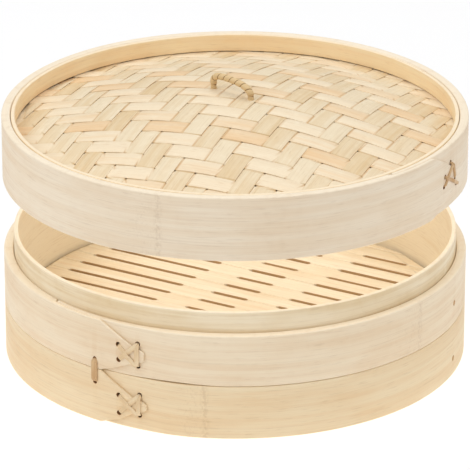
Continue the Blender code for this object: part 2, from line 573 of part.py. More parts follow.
def build_lid(mats):
    band = lapped_band("lid_outer_band", LID_BAND_INNER, LID_BOTTOM, LID_TOP, LID_LAP, mats["band"])
    holes = stitch_points(LID_STITCH, LID_LAP, LID_BOTTOM, LID_TOP)
    pocket_low = min(z for _, z in holes.values())
    pocket_high = max(z for _, z in holes.values())
    angles = [a for a, _ in holes.values()]
    half = math.radians(max(angles) - min(angles)) * LID_BAND_INNER / 2 + 0.002
    hollow = polar_block("pocket", (max(angles) + min(angles)) / 2, half, pocket_low - 0.002, pocket_high + 0.002,
                         LID_BAND_INNER - 0.004, LID_BAND_INNER + 0.0013)
    cuts = [radial_pin("hole", a, z, STITCH_HOLE_RADIUS, LID_BAND_INNER - 0.002, RIM_RADIUS + 0.002)
            for a, z in holes.values()]
    carve(band, [hollow, *cuts])

    outside = RIM_RADIUS + GLUE_GAP + CANE_THICKNESS / 2
    behind = LID_BAND_INNER + 0.0001 + CANE_THICKNESS / 2
    middle = LID_BAND_INNER + 0.0021
    narrow = CANE_WIDTH * 0.7
    strokes = [
        staple("lid_band_lacing", holes["bl"], holes["top"], outside, middle - 0.0004, mats["cane"], width=narrow),
        staple("right_leg", holes["top"], holes["mr"], outside + 0.00005, middle - 0.00035, mats["cane"],
               width=narrow, squeeze=0.0001),
        staple("bar", holes["ml"], holes["lr"], outside, middle - 0.0003, mats["cane"], width=narrow,
               squeeze=0.0002, crown=0.00095),
        staple("behind_left", holes["bl"], holes["ml"], behind, middle + 0.0004, mats["cane"], width=narrow,
               squeeze=0.0001),
        staple("behind_right", holes["lr"], holes["mr"], behind, middle + 0.0004, mats["cane"], width=narrow,
               squeeze=0.0001),
    ]
    lacing = combine(strokes[0], strokes[1:], "UNION")

    upper_ring = annulus("lid_upper_ring", LID_RING_INNER, LID_RING_OUTER, WEAVE_EDGE_TOP + GLUE_GAP, LID_TOP, mats["hoop"])
    lower_ring = annulus("lid_lower_ring", LID_RING_INNER, LID_RING_OUTER, LOWER_RING_BOTTOM, LOWER_RING_TOP, mats["hoop"])
    top = dome_shell("lid_woven_top", 0.0, mats["weave"])
    lining = dome_shell("lid_woven_lining", LINING_DROP, mats["weave"])

    centre = Vector((*HANDLE_CENTRE, 0))
    plans = [("lid_rib_centre", HANDLE_ANGLE + 90, 0.0, 0.0),
             ("lid_rib_cross_front", HANDLE_ANGLE, -RIB_SPREAD, RIB_THICKNESS + GLUE_GAP),
             ("lid_rib_cross_back", HANDLE_ANGLE, RIB_SPREAD, RIB_THICKNESS + GLUE_GAP)]
    ribs = [rib(name, direction, offset, level, centre, mats["slat"]) for name, direction, offset, level in plans]
    notches = [rib("notch", direction, offset, level, centre, None, grow=GLUE_GAP, top=LOWER_RING_TOP + 0.03)
               for _, direction, offset, level in plans]
    carve(lower_ring, notches)

    axis_z = WEAVE_EDGE_TOP + dome(math.hypot(*HANDLE_CENTRE)) + GLUE_GAP + HANDLE_CANE_RADIUS
    path = handle_path(axis_z)
    handle = tube("handle_loop", path, HANDLE_CANE_RADIUS, mats["handle"], round_ends=True)
    feet = [path[0], path[-1]]
    for mat_piece in (top, lining):
        carve(mat_piece, [upright_cutter(foot, HANDLE_CANE_RADIUS + GLUE_GAP) for foot in feet])
    knot_radius = HANDLE_CANE_RADIUS - 0.0002
    below = WEAVE_EDGE_TOP - RIB_DROP + dome(math.hypot(*HANDLE_CENTRE)) - RIB_THICKNESS - GLUE_GAP - knot_radius
    tops = [WEAVE_EDGE_TOP + dome(math.hypot(foot.x, foot.y)) - 0.0002 for foot in feet]
    middle_line = (feet[1] - feet[0]) * 0.14
    knot_path = [Vector((feet[0].x, feet[0].y, tops[0])), Vector((feet[0].x, feet[0].y, below + 0.0028)),
                 feet[0] + middle_line * 0.35 + Vector((0, 0, below + 0.0009 - feet[0].z)),
                 feet[0] + middle_line + Vector((0, 0, below - feet[0].z)),
                 feet[1] - middle_line + Vector((0, 0, below - feet[1].z)),
                 feet[1] - middle_line * 0.35 + Vector((0, 0, below + 0.0009 - feet[1].z)),
                 Vector((feet[1].x, feet[1].y, below + 0.0028)), Vector((feet[1].x, feet[1].y, tops[1]))]
    knot = tube("handle_tie", knot_path, knot_radius, mats["cane"])

    pieces = [band, lacing, upper_ring, lower_ring, top, lining, *ribs, knot]
    return pieces, handle, (feet[0] + feet[1]) / 2


def upright_cutter(point, radius):
    sides = 12
    ring = [(radius * math.cos(math.tau * k / sides), radius * math.sin(math.tau * k / sides)) for k in range(sides)]
    verts = [Vector((point.x + x, point.y + y, z)) for z in (LID_BOTTOM, LID_TOP + 0.05) for x, y in ring]
    faces = [(k, (k + 1) % sides, sides + (k + 1) % sides, sides + k) for k in range(sides)]
    faces += [tuple(range(sides))[::-1], tuple(range(sides, 2 * sides))]
    return add_object("hole", verts, faces, None)


# ---------------------------------------------------------------- assembly
def body_empty(name, location):
    empty = bpy.data.objects.new(name, None)
    empty.location = location
    bpy.context.scene.collection.objects.link(empty)
    return empty


def hang(objects, empty):
    """Parents objects to an empty without moving them."""
    for obj in objects:
        obj.parent = empty
        obj.matrix_parent_inverse = Matrix.Translation(empty.location).inverted()


def recentre(obj, point):
    """Puts the object's origin on a point, leaving its shape where it is."""
    obj.data.transform(Matrix.Translation(-point))
    obj.location = point


def main():
    clear_scene()
    mats = {
        "band": material("bamboo_band", BAMBOO, 0.55),
        "hoop": material("bamboo_hoop", BAMBOO_WARM, 0.5),
        "slat": material("bamboo_slat", BAMBOO_PALE, 0.6),
        "weave": material("bamboo_weave", BAMBOO_PALE, 0.6),
        "cane": material("cane_lacing", CANE, 0.5),
        "peg": material("bamboo_peg", BAMBOO_WARM, 0.6),
        "handle": material("cane_handle", CANE, 0.5),
    }
    basket = build_bands(mats) + build_floor(mats)
    lid, handle, hinge = build_lid(mats)
    recentre(handle, hinge)
    hang(basket, body_empty("basket_origin", Vector((0, 0, 0))))
    hang([*lid, handle], body_empty("lid_slide_origin", Vector((0, 0, LID_BOTTOM))))


main()
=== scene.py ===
"""Bamboo steamer basket with its woven lid lifted off the collar.

One steaming tier: two lapped outer bands stacked on a taller hoop, a floor of notched slats on two
cross bars, and a domed twill lid with a wound cane handle. Metres, +Z up, the rings on the Z axis,
angles in degrees from +X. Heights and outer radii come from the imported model.
"""

import logging
import math
from dataclasses import dataclass, field
from enum import Enum
from typing import Any, Callable, Iterable, Sequence, Union

import bmesh
import bpy
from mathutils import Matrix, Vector


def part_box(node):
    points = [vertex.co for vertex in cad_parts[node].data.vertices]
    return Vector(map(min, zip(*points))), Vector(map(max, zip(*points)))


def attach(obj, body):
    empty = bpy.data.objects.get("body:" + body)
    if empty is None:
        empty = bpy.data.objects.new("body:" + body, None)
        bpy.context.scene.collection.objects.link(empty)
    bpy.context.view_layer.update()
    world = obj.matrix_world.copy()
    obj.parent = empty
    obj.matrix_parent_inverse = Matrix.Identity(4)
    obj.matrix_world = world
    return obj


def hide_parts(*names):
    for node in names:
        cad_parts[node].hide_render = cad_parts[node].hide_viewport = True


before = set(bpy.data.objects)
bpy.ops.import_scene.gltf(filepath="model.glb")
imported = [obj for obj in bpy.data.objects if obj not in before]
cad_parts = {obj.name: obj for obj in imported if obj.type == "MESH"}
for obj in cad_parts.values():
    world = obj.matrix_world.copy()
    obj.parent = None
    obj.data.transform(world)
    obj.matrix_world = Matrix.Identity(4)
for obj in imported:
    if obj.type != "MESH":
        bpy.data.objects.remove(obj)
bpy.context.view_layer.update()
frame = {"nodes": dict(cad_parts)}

log = logging.getLogger("steamer")

Colour = tuple[float, float, float, float]
Flat = tuple[float, float]
Bore = tuple[float, float, float]     # bearing, height and radius of a hole

MM = 0.001


# ------------------------------------------------------------------ small helpers
def shade(red: int, green: int, blue: int) -> Colour:
    """Turn a paint-chart colour into the linear colour that a shader takes.

    Args:
        red: red from 0 to 255.
        green: green from 0 to 255.
        blue: blue from 0 to 255.

    Returns:
        The linear colour, with full alpha.
    """
    def linear(level: int) -> float:
        """Undo the display curve of one channel."""
        part = level / 255
        return part / 12.92 if part <= 0.04045 else ((part + 0.055) / 1.055) ** 2.4
    return (linear(red), linear(green), linear(blue), 1.0)


def polar(radius: float, angle: float, height: float = 0.0) -> Vector:
    """Point at a radius, an angle in degrees and a height."""
    turn = math.radians(angle)
    return Vector((radius * math.cos(turn), radius * math.sin(turn), height))


def ease(share: float) -> float:
    """Smooth step of a share, held between 0 and 1."""
    share = min(max(share, 0.0), 1.0)
    return share * share * (3 - 2 * share)


def read_off(place: float, table: Sequence[Flat]) -> float:
    """Read a line drawn straight from mark to mark.

    Args:
        place: where to read.
        table: (place, value) marks, in rising order of place.

    Returns:
        The value at the place, held level beyond the last marks.
    """
    if place <= table[0][0]:
        return table[0][1]
    for (start, first), (stop, last) in zip(table, table[1:]):
        if place <= stop:
            return first + (last - first) * (place - start) / (stop - start)
    return table[-1][1]


# ------------------------------------------------------------------ laying out node trees
def operator(operation: str, swapped: bool = False) -> Callable[..., "Field"]:
    """Make a method of a field that puts it through one Math node.

    Args:
        operation: what the node does.
        swapped: whether the other value comes before the field.

    Returns:
        The method, which takes the other value if the node has one.
    """
    def method(self: "Field", *others: "Value") -> "Field":
        """Lay the node and give what it puts out."""
        values = (*others, self) if swapped else (self, *others)
        return self.bench.math(operation, *values)
    return method


class Field:
    """A number or vector travelling through a node tree, with ordinary arithmetic."""

    def __init__(self, bench: "Bench", socket: bpy.types.NodeSocket) -> None:
        """Hold the socket that gives the value, and the bench it was made on."""
        self.bench, self.socket = bench, socket

    __add__ = __radd__ = operator("ADD")
    __mul__ = __rmul__ = operator("MULTIPLY")
    __sub__ = operator("SUBTRACT")
    __rsub__ = operator("SUBTRACT", swapped=True)
    __truediv__ = operator("DIVIDE")
    __pow__ = operator("POWER")
    sin = operator("SINE")
    cos = operator("COSINE")
    root = operator("SQRT")
    size = operator("ABSOLUTE")
    sign = operator("SIGN")
    part = operator("FRACT")
    least = operator("MINIMUM")
    most = operator("MAXIMUM")
    over = operator("GREATER_THAN")

    def ramp(self, low: "Value", high: "Value", bottom: "Value" = 0.0, top: "Value" = 1.0) -> "Field":
        """Smooth rise from a bottom to a top value as this goes from low to high."""
        feeds = {"Value": self, "From Min": low, "From Max": high, "To Min": bottom, "To Max": top}
        node = self.bench.add("ShaderNodeMapRange", feeds, interpolation_type="SMOOTHSTEP")
        return Field(self.bench, node.outputs["Result"])


Value = Union[Field, float, int]


class Bench:
    """Lays nodes in one tree and joins them."""

    def __init__(self, tree: bpy.types.NodeTree) -> None:
        """Keep the tree that the nodes go in."""
        self.tree = tree
        self.mouth: bpy.types.Node | None = None

    def feed(self, socket: bpy.types.NodeSocket, value: Any) -> None:
        """Give a socket a value: a link from a field or a socket, or a plain setting.

        Args:
            socket: the input to set.
            value: a field, a socket or a plain setting.
        """
        if isinstance(value, Field):
            value = value.socket
        if isinstance(value, bpy.types.NodeSocket):
            self.tree.links.new(value, socket)
        else:
            socket.default_value = value

    def add(self, kind: str, feeds: dict[Any, Any] | None = None, **settings: Any) -> bpy.types.Node:
        """Add one node.

        Args:
            kind: the node's type name.
            feeds: values or fields for its inputs, by name or by number.
            settings: its own properties, set before the inputs are fed.

        Returns:
            The new node.
        """
        node = self.tree.nodes.new(kind)
        for name, setting in settings.items():
            setattr(node, name, setting)
        for key, value in (feeds or {}).items():
            if isinstance(key, int):
                socket = node.inputs[key]
            else:
                socket = next(s for s in node.inputs if s.name == key and s.enabled)
            self.feed(socket, value)
        return node

    def take(self, node: bpy.types.Node, name: str | int = 0) -> Field:
        """The field that a node puts out, by number, or by name among its live outputs."""
        if isinstance(name, int):
            return Field(self, [s for s in node.outputs if s.enabled][name])
        return Field(self, next(s for s in node.outputs if s.name == name and s.enabled))

    def math(self, operation: str, *values: Value) -> Field:
        """One Math node."""
        return self.take(self.add("ShaderNodeMath", dict(enumerate(values)), operation=operation))

    def combine(self, x: Value, y: Value, z: Value) -> Field:
        """A vector from three numbers."""
        return self.take(self.add("ShaderNodeCombineXYZ", {0: x, 1: y, 2: z}))

    def split(self, vector: Field) -> tuple[Field, Field, Field]:
        """The three numbers of a vector."""
        node = self.add("ShaderNodeSeparateXYZ", {0: vector})
        return tuple(Field(self, socket) for socket in node.outputs)

    def vector(self, operation: str, feeds: dict[Any, Any]) -> Field:
        """One Vector Math node."""
        return self.take(self.add("ShaderNodeVectorMath", feeds, operation=operation))

    def cross(self, first: Field, second: Field) -> Field:
        """Unit vector square to two others."""
        return self.vector("NORMALIZE", {0: self.vector("CROSS_PRODUCT", {0: first, 1: second})})

    def shift(self, spot: Field, *steps: tuple[Field, Value]) -> Field:
        """A place moved along each of several directions, by a distance for each."""
        for direction, distance in steps:
            step = self.vector("SCALE", {0: direction, "Scale": distance})
            spot = self.vector("ADD", {0: spot, 1: step})
        return spot

    def noise(self, vector: Field, scale: float, detail: float, **more: float) -> Field:
        """Noise at a place."""
        feeds = {"Vector": vector, "Scale": scale, "Detail": detail, **more}
        return self.take(self.add("ShaderNodeTexNoise", feeds))

    def mix(self, share: Field, first: Any, second: Any) -> Field:
        """Blend two colours by a share."""
        feeds = {"Factor": share, "A": first, "B": second}
        return self.take(self.add("ShaderNodeMix", feeds, data_type="RGBA"))

    def attribute(self, name: str, result: str = "Fac") -> Field:
        """Read an attribute of the piece in a shader."""
        return self.take(self.add("ShaderNodeAttribute", attribute_name=name), result)

    def group(self, tree: bpy.types.NodeTree, feeds: dict[str, Any], *results: str) -> list[Field]:
        """Place a shared group and give some of its results."""
        node = self.add("ShaderNodeGroup", feeds, node_tree=tree)
        return [self.take(node, result) for result in results]

    def inlet(self, name: str, kind: str, default: Any = None) -> Field:
        """Open a named input on the tree.

        Args:
            name: what the input is called.
            kind: its socket type.
            default: the value it has until it is set.

        Returns:
            The field that the input brings in.
        """
        item = self.tree.interface.new_socket(name=name, in_out="INPUT", socket_type=kind)
        if default is not None:
            item.default_value = default
        if self.mouth is None:
            self.mouth = self.tree.nodes.new("NodeGroupInput")
        return Field(self, self.mouth.outputs[name])

    def counts(self, **defaults: int) -> list[Field]:
        """Open one whole-number input for each keyword, and give the fields in that order."""
        return [self.inlet(name, "NodeSocketInt", value) for name, value in defaults.items()]

    def sizes(self, **defaults: float) -> dict[str, Field]:
        """Open one number input for each keyword, and give the fields under the same keys."""
        return {name: self.inlet(name, "NodeSocketFloat", value) for name, value in defaults.items()}

    def outlet(self, **results: tuple[str, Field]) -> None:
        """Open a named output for each keyword, which gives its socket type and its field."""
        tail = self.tree.nodes.new("NodeGroupOutput")
        for name, (kind, value) in results.items():
            self.tree.interface.new_socket(name=name, in_out="OUTPUT", socket_type=kind)
            self.tree.links.new(value.socket, tail.inputs[name])

    # -- geometry only
    def named(self, name: str, kind: str = "FLOAT") -> Field:
        """Read an attribute of the geometry."""
        return self.take(self.add("GeometryNodeInputNamedAttribute", {"Name": name}, data_type=kind))

    def store(self, geometry: Field, name: str, value: Value, kind: str = "FLOAT") -> Field:
        """Write an attribute on every point of the geometry."""
        feeds = {"Geometry": geometry, "Name": name, "Value": value}
        return self.take(self.add("GeometryNodeStoreNamedAttribute", feeds, data_type=kind, domain="POINT"))

    def mark(self, geometry: Field, grain: Field, **marks: Field) -> Field:
        """Write what the finishes read: the grain, and shares such as tone, edge and recess shade (painted
        shade).
        """
        geometry = self.store(geometry, "grain", grain, "FLOAT_VECTOR")
        for name, value in marks.items():
            geometry = self.store(geometry, name, value)
        return geometry

    def realise(self, geometry: Field) -> Field:
        """Turn copies into real geometry."""
        return self.take(self.add("GeometryNodeRealizeInstances", {"Geometry": geometry}))

    def place(self, geometry: Field, position: Field) -> Field:
        """Move every point to a position."""
        return self.take(self.add("GeometryNodeSetPosition", {"Geometry": geometry, "Position": position}))

    def random(self, low: float, high: float, index: Field, seed: Value) -> Field:
        """A number that stays the same for one index and one seed."""
        feeds = {"Min": low, "Max": high, "ID": index, "Seed": seed}
        return self.take(self.add("FunctionNodeRandomValue", feeds, data_type="FLOAT"))

    def blank_bar(self, around: int, along: Value) -> Field:
        """A closed bar of unit section from -1 to 1, which keeps where each point lies in `ring`.

        Args:
            around: points round the section.
            along: sections along the bar.

        Returns:
            The bar.
        """
        feeds = {"Vertices": around, "Side Segments": along, "Radius": 1.0, "Depth": 2.0}
        bar = self.take(self.add("GeometryNodeMeshCylinder", feeds, fill_type="NGON"))
        x, y, z = self.split(self.take(self.add("GeometryNodeInputPosition")))
        cosine, sine = math.cos(math.pi / around), math.sin(math.pi / around)
        ring = self.combine(x * cosine - y * sine, x * sine + y * cosine, z)
        return self.store(bar, "ring", ring, "FLOAT_VECTOR")

    def finish_tree(self, geometry: Field, material: Field) -> None:
        """End a tree: realise, smooth, set the material, and put the geometry out."""
        smooth = self.take(self.add("GeometryNodeSetShadeSmooth", {"Geometry": self.realise(geometry)}))
        made = self.take(self.add("GeometryNodeSetMaterial", {"Geometry": smooth, "Material": material}))
        self.outlet(Geometry=("NodeSocketGeometry", made))


def new_tree(name: str, kind: str) -> Bench:
    """Start an empty node tree of a kind, and give the bench for it."""
    return Bench(bpy.data.node_groups.new(name, kind))


def grow(name: str, tree: bpy.types.NodeTree, values: dict[str, Any],
         guide: bpy.types.ID | None = None) -> bpy.types.Mesh:
    """Run a geometry tree and keep what it makes as a plain mesh.

    Args:
        name: what the mesh is called.
        tree: the geometry tree.
        values: its inputs, by name.
        guide: the curve or mesh data that it starts from, if it needs one.

    Returns:
        The finished mesh.
    """
    host = bpy.data.objects.new(name + "_host", guide or bpy.data.meshes.new(name + "_seed"))
    bpy.context.scene.collection.objects.link(host)
    step = host.modifiers.new("grow", "NODES")
    step.node_group = tree
    for item in tree.interface.items_tree:
        if item.item_type == "SOCKET" and item.in_out == "INPUT" and item.name in values:
            step[item.identifier] = values[item.name]
    bpy.context.view_layer.update()
    graph = bpy.context.evaluated_depsgraph_get()
    mesh = bpy.data.meshes.new_from_object(host.evaluated_get(graph), depsgraph=graph)
    host.modifiers.clear()
    bpy.data.objects.remove(host, do_unlink=True)
    mesh.name = name
    return mesh


# ------------------------------------------------------------------ effects shared by the finishes
KNOT_STAIN = 0.24     # how far a culm's node line darkens a band
KNOT_RIDGE = 0.6      # how far it stands up in the bump


class Effects:
    """Shader groups that several finishes place with their own values."""

    def __init__(self) -> None:
        """Build each group once."""
        self.around = self._around()
        self.fibre = self._fibre()
        self.knot = self._knot()
        self.edge_light_and_shade = self._edge_light_and_shade()
        self.bore = BORE.material(self)

    @staticmethod
    def _around() -> bpy.types.NodeTree:
        """Grain coordinates that run round the Z axis, with no seam.

        Returns:
            The group: Point and Girth in, Grain out.
        """
        bench = new_tree("grain_round_the_axis", "ShaderNodeTree")
        point = bench.inlet("Point", "NodeSocketVector")
        girth = bench.inlet("Girth", "NodeSocketFloat", 0.12)
        x, y, z = bench.split(point)
        radius = (x * x + y * y).root().most(1e-5)
        grain = bench.combine(x / radius * girth, y / radius * girth, z + radius * 0.8)
        bench.outlet(Grain=("NodeSocketVector", grain))
        return bench.tree

    @staticmethod
    def _fibre() -> bpy.types.NodeTree:
        """Split bamboo: long fibres, pores, streaks and clouds of warmer tone.

        Returns:
            The group: grain, three colours and sizes in; Colour, Height and Rough out.
        """
        bench = new_tree("bamboo_fibre", "ShaderNodeTree")
        grain = bench.inlet("Grain", "NodeSocketVector")
        pale = bench.inlet("Pale", "NodeSocketColor", (0.8, 0.7, 0.5, 1.0))
        warm = bench.inlet("Warm", "NodeSocketColor", (0.7, 0.5, 0.3, 1.0))
        dark = bench.inlet("Dark", "NodeSocketColor", (0.4, 0.25, 0.12, 1.0))
        size = bench.sizes(Length=0.05, Fibre=0.0006, Streaks=0.5, Clouds=0.5, Pores=0.3, Tone=0.0)
        along, second, across = bench.split(grain)

        def noise(length: float, width: float, detail: float, shift: float) -> Field:
            """Noise stretched along the grain, as a share of the fibre's own size."""
            reach = size["Length"] * length
            spot = bench.combine(along / reach + shift, second / reach,
                                 across / (size["Fibre"] * width) + shift)
            return bench.noise(spot, 1.0, detail, Roughness=0.6)

        fine = noise(1.0, 1.0, 3.0, 0.0)
        broad = noise(2.2, 6.5, 3.0, 11.3)
        cloud = noise(0.9, 34.0, 2.0, 5.7)
        pore = noise(0.16, 1.1, 1.0, 23.1).ramp(0.60, 0.74)
        vessel = noise(1.6, 2.2, 1.0, 31.7).ramp(0.58, 0.72)
        warmth = broad.ramp(0.38, 0.66) * size["Streaks"] + cloud.ramp(0.38, 0.68) * size["Clouds"]
        toned = bench.mix((warmth + size["Tone"]).most(0.0).least(1.0), pale, warm)
        deep = (pore * 0.6 + vessel * 0.35 + fine.ramp(0.45, 0.8) * 0.4) * size["Pores"]
        colour = bench.mix(deep.least(1.0), toned, dark)
        height = fine * 0.5 + broad * 0.35 - pore * 0.35
        rough = fine.ramp(0.3, 0.7, -0.07, 0.09) + pore * 0.1
        bench.outlet(Colour=("NodeSocketColor", colour), Height=("NodeSocketFloat", height),
                     Rough=("NodeSocketFloat", rough))
        return bench.tree

    @staticmethod
    def _knot() -> bpy.types.NodeTree:
        """The line left by a node of the culm, where it crosses a band at a bearing.

        Returns:
            The group: Point, Bearing and Width in; Mask and Ridge out.
        """
        bench = new_tree("culm_knot", "ShaderNodeTree")
        point = bench.inlet("Point", "NodeSocketVector")
        size = bench.sizes(Bearing=0.0, Width=0.003)
        x, y, z = bench.split(point)
        wander = bench.noise(point, 90.0, 2.0)
        cosine, sine = size["Bearing"].cos(), size["Bearing"].sin()
        aside = y * cosine - x * sine + (wander - 0.5) * 0.0032
        front = (x * cosine + y * sine).over(0.0)
        line = (aside / size["Width"]).size().ramp(0.0, 1.0, 1.0, 0.0) * front
        beside = (aside + size["Width"] * 2.6) / (size["Width"] * 4.5)
        halo = beside.size().ramp(0.0, 1.0, 1.0, 0.0) * front
        speck = bench.noise(bench.combine(x * 900.0, y * 900.0, z * 620.0), 1.0, 1.0)
        mask = (line * speck.ramp(0.35, 0.62) + halo * speck.ramp(0.55, 0.7) * 0.45).least(1.0)
        bench.outlet(Mask=("NodeSocketFloat", mask), Ridge=("NodeSocketFloat", line))
        return bench.tree

    @staticmethod
    def _edge_light_and_shade() -> bpy.types.NodeTree:
        """Edge colour in noisy patches from the edge attribute: a painted highlight, or painted shade where
        the edge colour is darker.

        Returns:
            The group: Point and Edge in, Mask out.
        """
        bench = new_tree("painted_edge_light_and_shade", "ShaderNodeTree")
        point = bench.inlet("Point", "NodeSocketVector")
        edge = bench.inlet("Edge", "NodeSocketFloat", 0.0)
        patch = bench.noise(point, 220.0, 3.0)
        bench.outlet(Mask=("NodeSocketFloat", edge * patch.ramp(0.15, 0.55, 0.45)))
        return bench.tree


class Grain(Enum):
    """Which way a piece's fibres run."""

    ROUND = "round the axis"
    ALONG = "along each strip"


@dataclass(frozen=True)
class BambooFinish:
    """Bare split bamboo or cane."""

    name: str
    pale: Colour
    warm: Colour
    dark: Colour
    # edge: lighter than pale paints a highlight on edges and flat tops; darker (the weave strips) paints
    # shade along their sides
    edge: Colour
    grain: Grain = Grain.ALONG
    length: float = 50 * MM
    fibre: float = 0.6 * MM
    streaks: float = 0.45
    clouds: float = 0.4
    pores: float = 0.3
    tone_swing: float = 0.0
    roughness: float = 0.55
    relief: float = 0.12 * MM
    edge_share: float = 0.5
    # recess shade: colour of painted shade in the floor slots, under crossing strips and between wound turns
    groove: Colour | None = None
    knots: tuple[float, ...] = ()

    def material(self, effects: Effects) -> bpy.types.Material:
        """Build the material.

        Args:
            effects: the shared shader groups.

        Returns:
            The finished material.
        """
        made = bpy.data.materials.new(self.name)
        made.use_nodes = True
        bench = Bench(made.node_tree)
        shader = made.node_tree.nodes["Principled BSDF"]
        point = bench.take(bench.add("ShaderNodeTexCoord"), "Object")
        if self.grain is Grain.ROUND:
            grain = bench.group(effects.around, {"Point": point}, "Grain")[0]
        else:
            grain = bench.attribute("grain", "Vector")
        feeds = {"Grain": grain, "Pale": self.pale, "Warm": self.warm, "Dark": self.dark,
                 "Length": self.length, "Fibre": self.fibre, "Streaks": self.streaks, "Clouds": self.clouds,
                 "Pores": self.pores, "Tone": (bench.attribute("tone") - 0.5) * self.tone_swing}
        colour, height, rough = bench.group(effects.fibre, feeds, "Colour", "Height", "Rough")
        for bearing in self.knots:
            feeds = {"Point": point, "Bearing": math.radians(bearing)}
            mask, ridge = bench.group(effects.knot, feeds, "Mask", "Ridge")
            colour = bench.mix(mask * KNOT_STAIN, colour, self.dark)
            height = height + ridge * KNOT_RIDGE
        # painted highlight or painted shade along edges, from the edge colour
        edge_light_and_shade = bench.group(effects.edge_light_and_shade, {"Point": point, "Edge": bench.attribute("edge")}, "Mask")[0]
        colour = bench.mix(edge_light_and_shade * self.edge_share, colour, self.edge)
        # painted shade in recesses
        if self.groove is not None:
            colour = bench.mix(bench.attribute("groove").ramp(0.45, 1.0), colour, self.groove)
        bench.feed(shader.inputs["Base Color"], colour)
        bench.feed(shader.inputs["Roughness"], rough + self.roughness)
        bump = bench.add("ShaderNodeBump", {"Height": height, "Distance": self.relief, "Strength": 0.6})
        bench.feed(shader.inputs["Normal"], bench.take(bump))
        shader.inputs["Specular IOR Level"].default_value = 0.3
        return made


BAND = BambooFinish("bamboo_band_planed", shade(240, 221, 191), shade(229, 199, 160), shade(176, 138, 96),
                    shade(252, 239, 214), Grain.ROUND, length=60 * MM, fibre=0.55 * MM, edge_share=0.75,
                    knots=(-38.8,))
LOWER_BAND = BambooFinish("bamboo_band_lower", shade(240, 219, 182), shade(231, 197, 150),
                          shade(176, 136, 90), shade(248, 229, 196), Grain.ROUND, length=60 * MM,
                          fibre=0.55 * MM, knots=(-97.2,))
LID_BAND = BambooFinish("bamboo_band_lid", shade(238, 222, 198), shade(226, 200, 166), shade(170, 134, 96),
                        shade(253, 240, 216), Grain.ROUND, length=60 * MM, fibre=0.55 * MM, edge_share=0.75,
                    knots=(-108.4,))
HOOP = BambooFinish("bamboo_hoop_planed", shade(248, 235, 208), shade(223, 195, 147), shade(176, 136, 90),
                    shade(254, 242, 218), Grain.ROUND, length=60 * MM, fibre=0.6 * MM, tone_swing=0.9,
                    edge_share=0.85)
LID_RING = BambooFinish("bamboo_ring_lid", shade(250, 227, 182), shade(242, 206, 150), shade(184, 136, 86),
                        shade(251, 234, 206), Grain.ROUND, length=50 * MM, fibre=0.6 * MM, edge_share=0.9)
SLAT = BambooFinish("bamboo_slat_split", shade(249, 238, 213), shade(240, 219, 184), shade(190, 150, 104),
                    shade(252, 240, 216), length=55 * MM, fibre=0.6 * MM, tone_swing=0.5,
                    groove=shade(206, 168, 120))
WEAVE = BambooFinish("bamboo_weave_strip", shade(249, 236, 208), shade(240, 206, 160), shade(180, 134, 88),
                     shade(222, 186, 142), length=45 * MM, fibre=0.55 * MM, tone_swing=1.2, clouds=0.3,
                     streaks=0.35, edge_share=0.3, groove=shade(208, 170, 122))
# the cross family's slightly browner, darker colours are painted shade: the same bamboo as WEAVE
CROSS_WEAVE = BambooFinish("bamboo_weave_cross_strip", shade(247, 233, 205), shade(230, 203, 160),
                           shade(170, 132, 84), shade(206, 176, 126), length=45 * MM, fibre=0.5 * MM,
                           tone_swing=1.2, clouds=0.3, streaks=0.45, edge_share=0.3,
                           groove=shade(198, 164, 114))
LACE = BambooFinish("cane_lace_flat", shade(236, 213, 176), shade(220, 188, 142), shade(150, 108, 66),
                    shade(244, 224, 190), length=22 * MM, fibre=0.35 * MM, roughness=0.42)
LID_LACE = BambooFinish("cane_lace_warm", shade(216, 182, 136), shade(190, 146, 98), shade(120, 78, 42),
                        shade(226, 194, 150), length=22 * MM, fibre=0.35 * MM, roughness=0.42)
WOUND = BambooFinish("cane_wound_handle", shade(228, 198, 148), shade(168, 124, 74), shade(116, 78, 42),
                     shade(226, 192, 146), length=14 * MM, fibre=0.4 * MM, roughness=0.42, streaks=0.3,
                     tone_swing=0.9, groove=shade(130, 92, 52))
PEG = BambooFinish("bamboo_peg_end", shade(214, 170, 116), shade(186, 136, 84), shade(120, 76, 40),
                   shade(196, 150, 100), length=1.2 * MM, fibre=0.5 * MM, pores=0.6)
# hole walls: a darker brown that paints shade into the stitch holes
BORE = BambooFinish("bamboo_bored_hole", shade(184, 142, 98), shade(156, 112, 72), shade(96, 64, 38),
                    shade(190, 150, 106), Grain.ROUND, length=3 * MM, fibre=0.4 * MM, pores=0.6,
                    roughness=0.8)


# ------------------------------------------------------------------ handing pieces over
@dataclass
class Piece:
    """A finished mesh and what it stands for."""

    name: str
    mesh: bpy.types.Mesh
    body: str
    slot: str
    nodes: tuple[str, ...]

    def hand_over(self) -> bpy.types.Object:
        """Put the piece in the scene, on its body, in place of its nodes.

        Returns:
            The object.
        """
        thing = bpy.data.objects.new(self.name, self.mesh)
        bpy.context.scene.collection.objects.link(thing)
        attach(thing, self.body)
        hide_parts(*self.nodes)
        self.mesh.calc_loop_triangles()
        log.info("%-18s %6d triangles on %s", self.name, len(self.mesh.loop_triangles), self.body)
        return thing


def solid(name: str, points: Sequence[Vector], faces: Sequence[Sequence[int]], material: bpy.types.Material,
          edges: Sequence[float] | None = None) -> bpy.types.Mesh:
    """Make a closed mesh with its faces outward.

    Args:
        name: what the mesh is called.
        points: its points.
        faces: the point numbers of each face.
        material: its finish.
        edges: how much of an edge each point is, from 0 to 1.

    Returns:
        The mesh, shaded smooth.
    """
    mesh = bpy.data.meshes.new(name)
    mesh.from_pydata([tuple(point) for point in points], [], [tuple(face) for face in faces])
    if edges is not None:
        mesh.attributes.new("edge", "FLOAT", "POINT").data.foreach_set("value", edges)
    work = bmesh.new()
    work.from_mesh(mesh)
    bmesh.ops.recalc_face_normals(work, faces=work.faces)
    work.to_mesh(mesh)
    work.free()
    mesh.shade_smooth()
    mesh.materials.append(material)
    return mesh


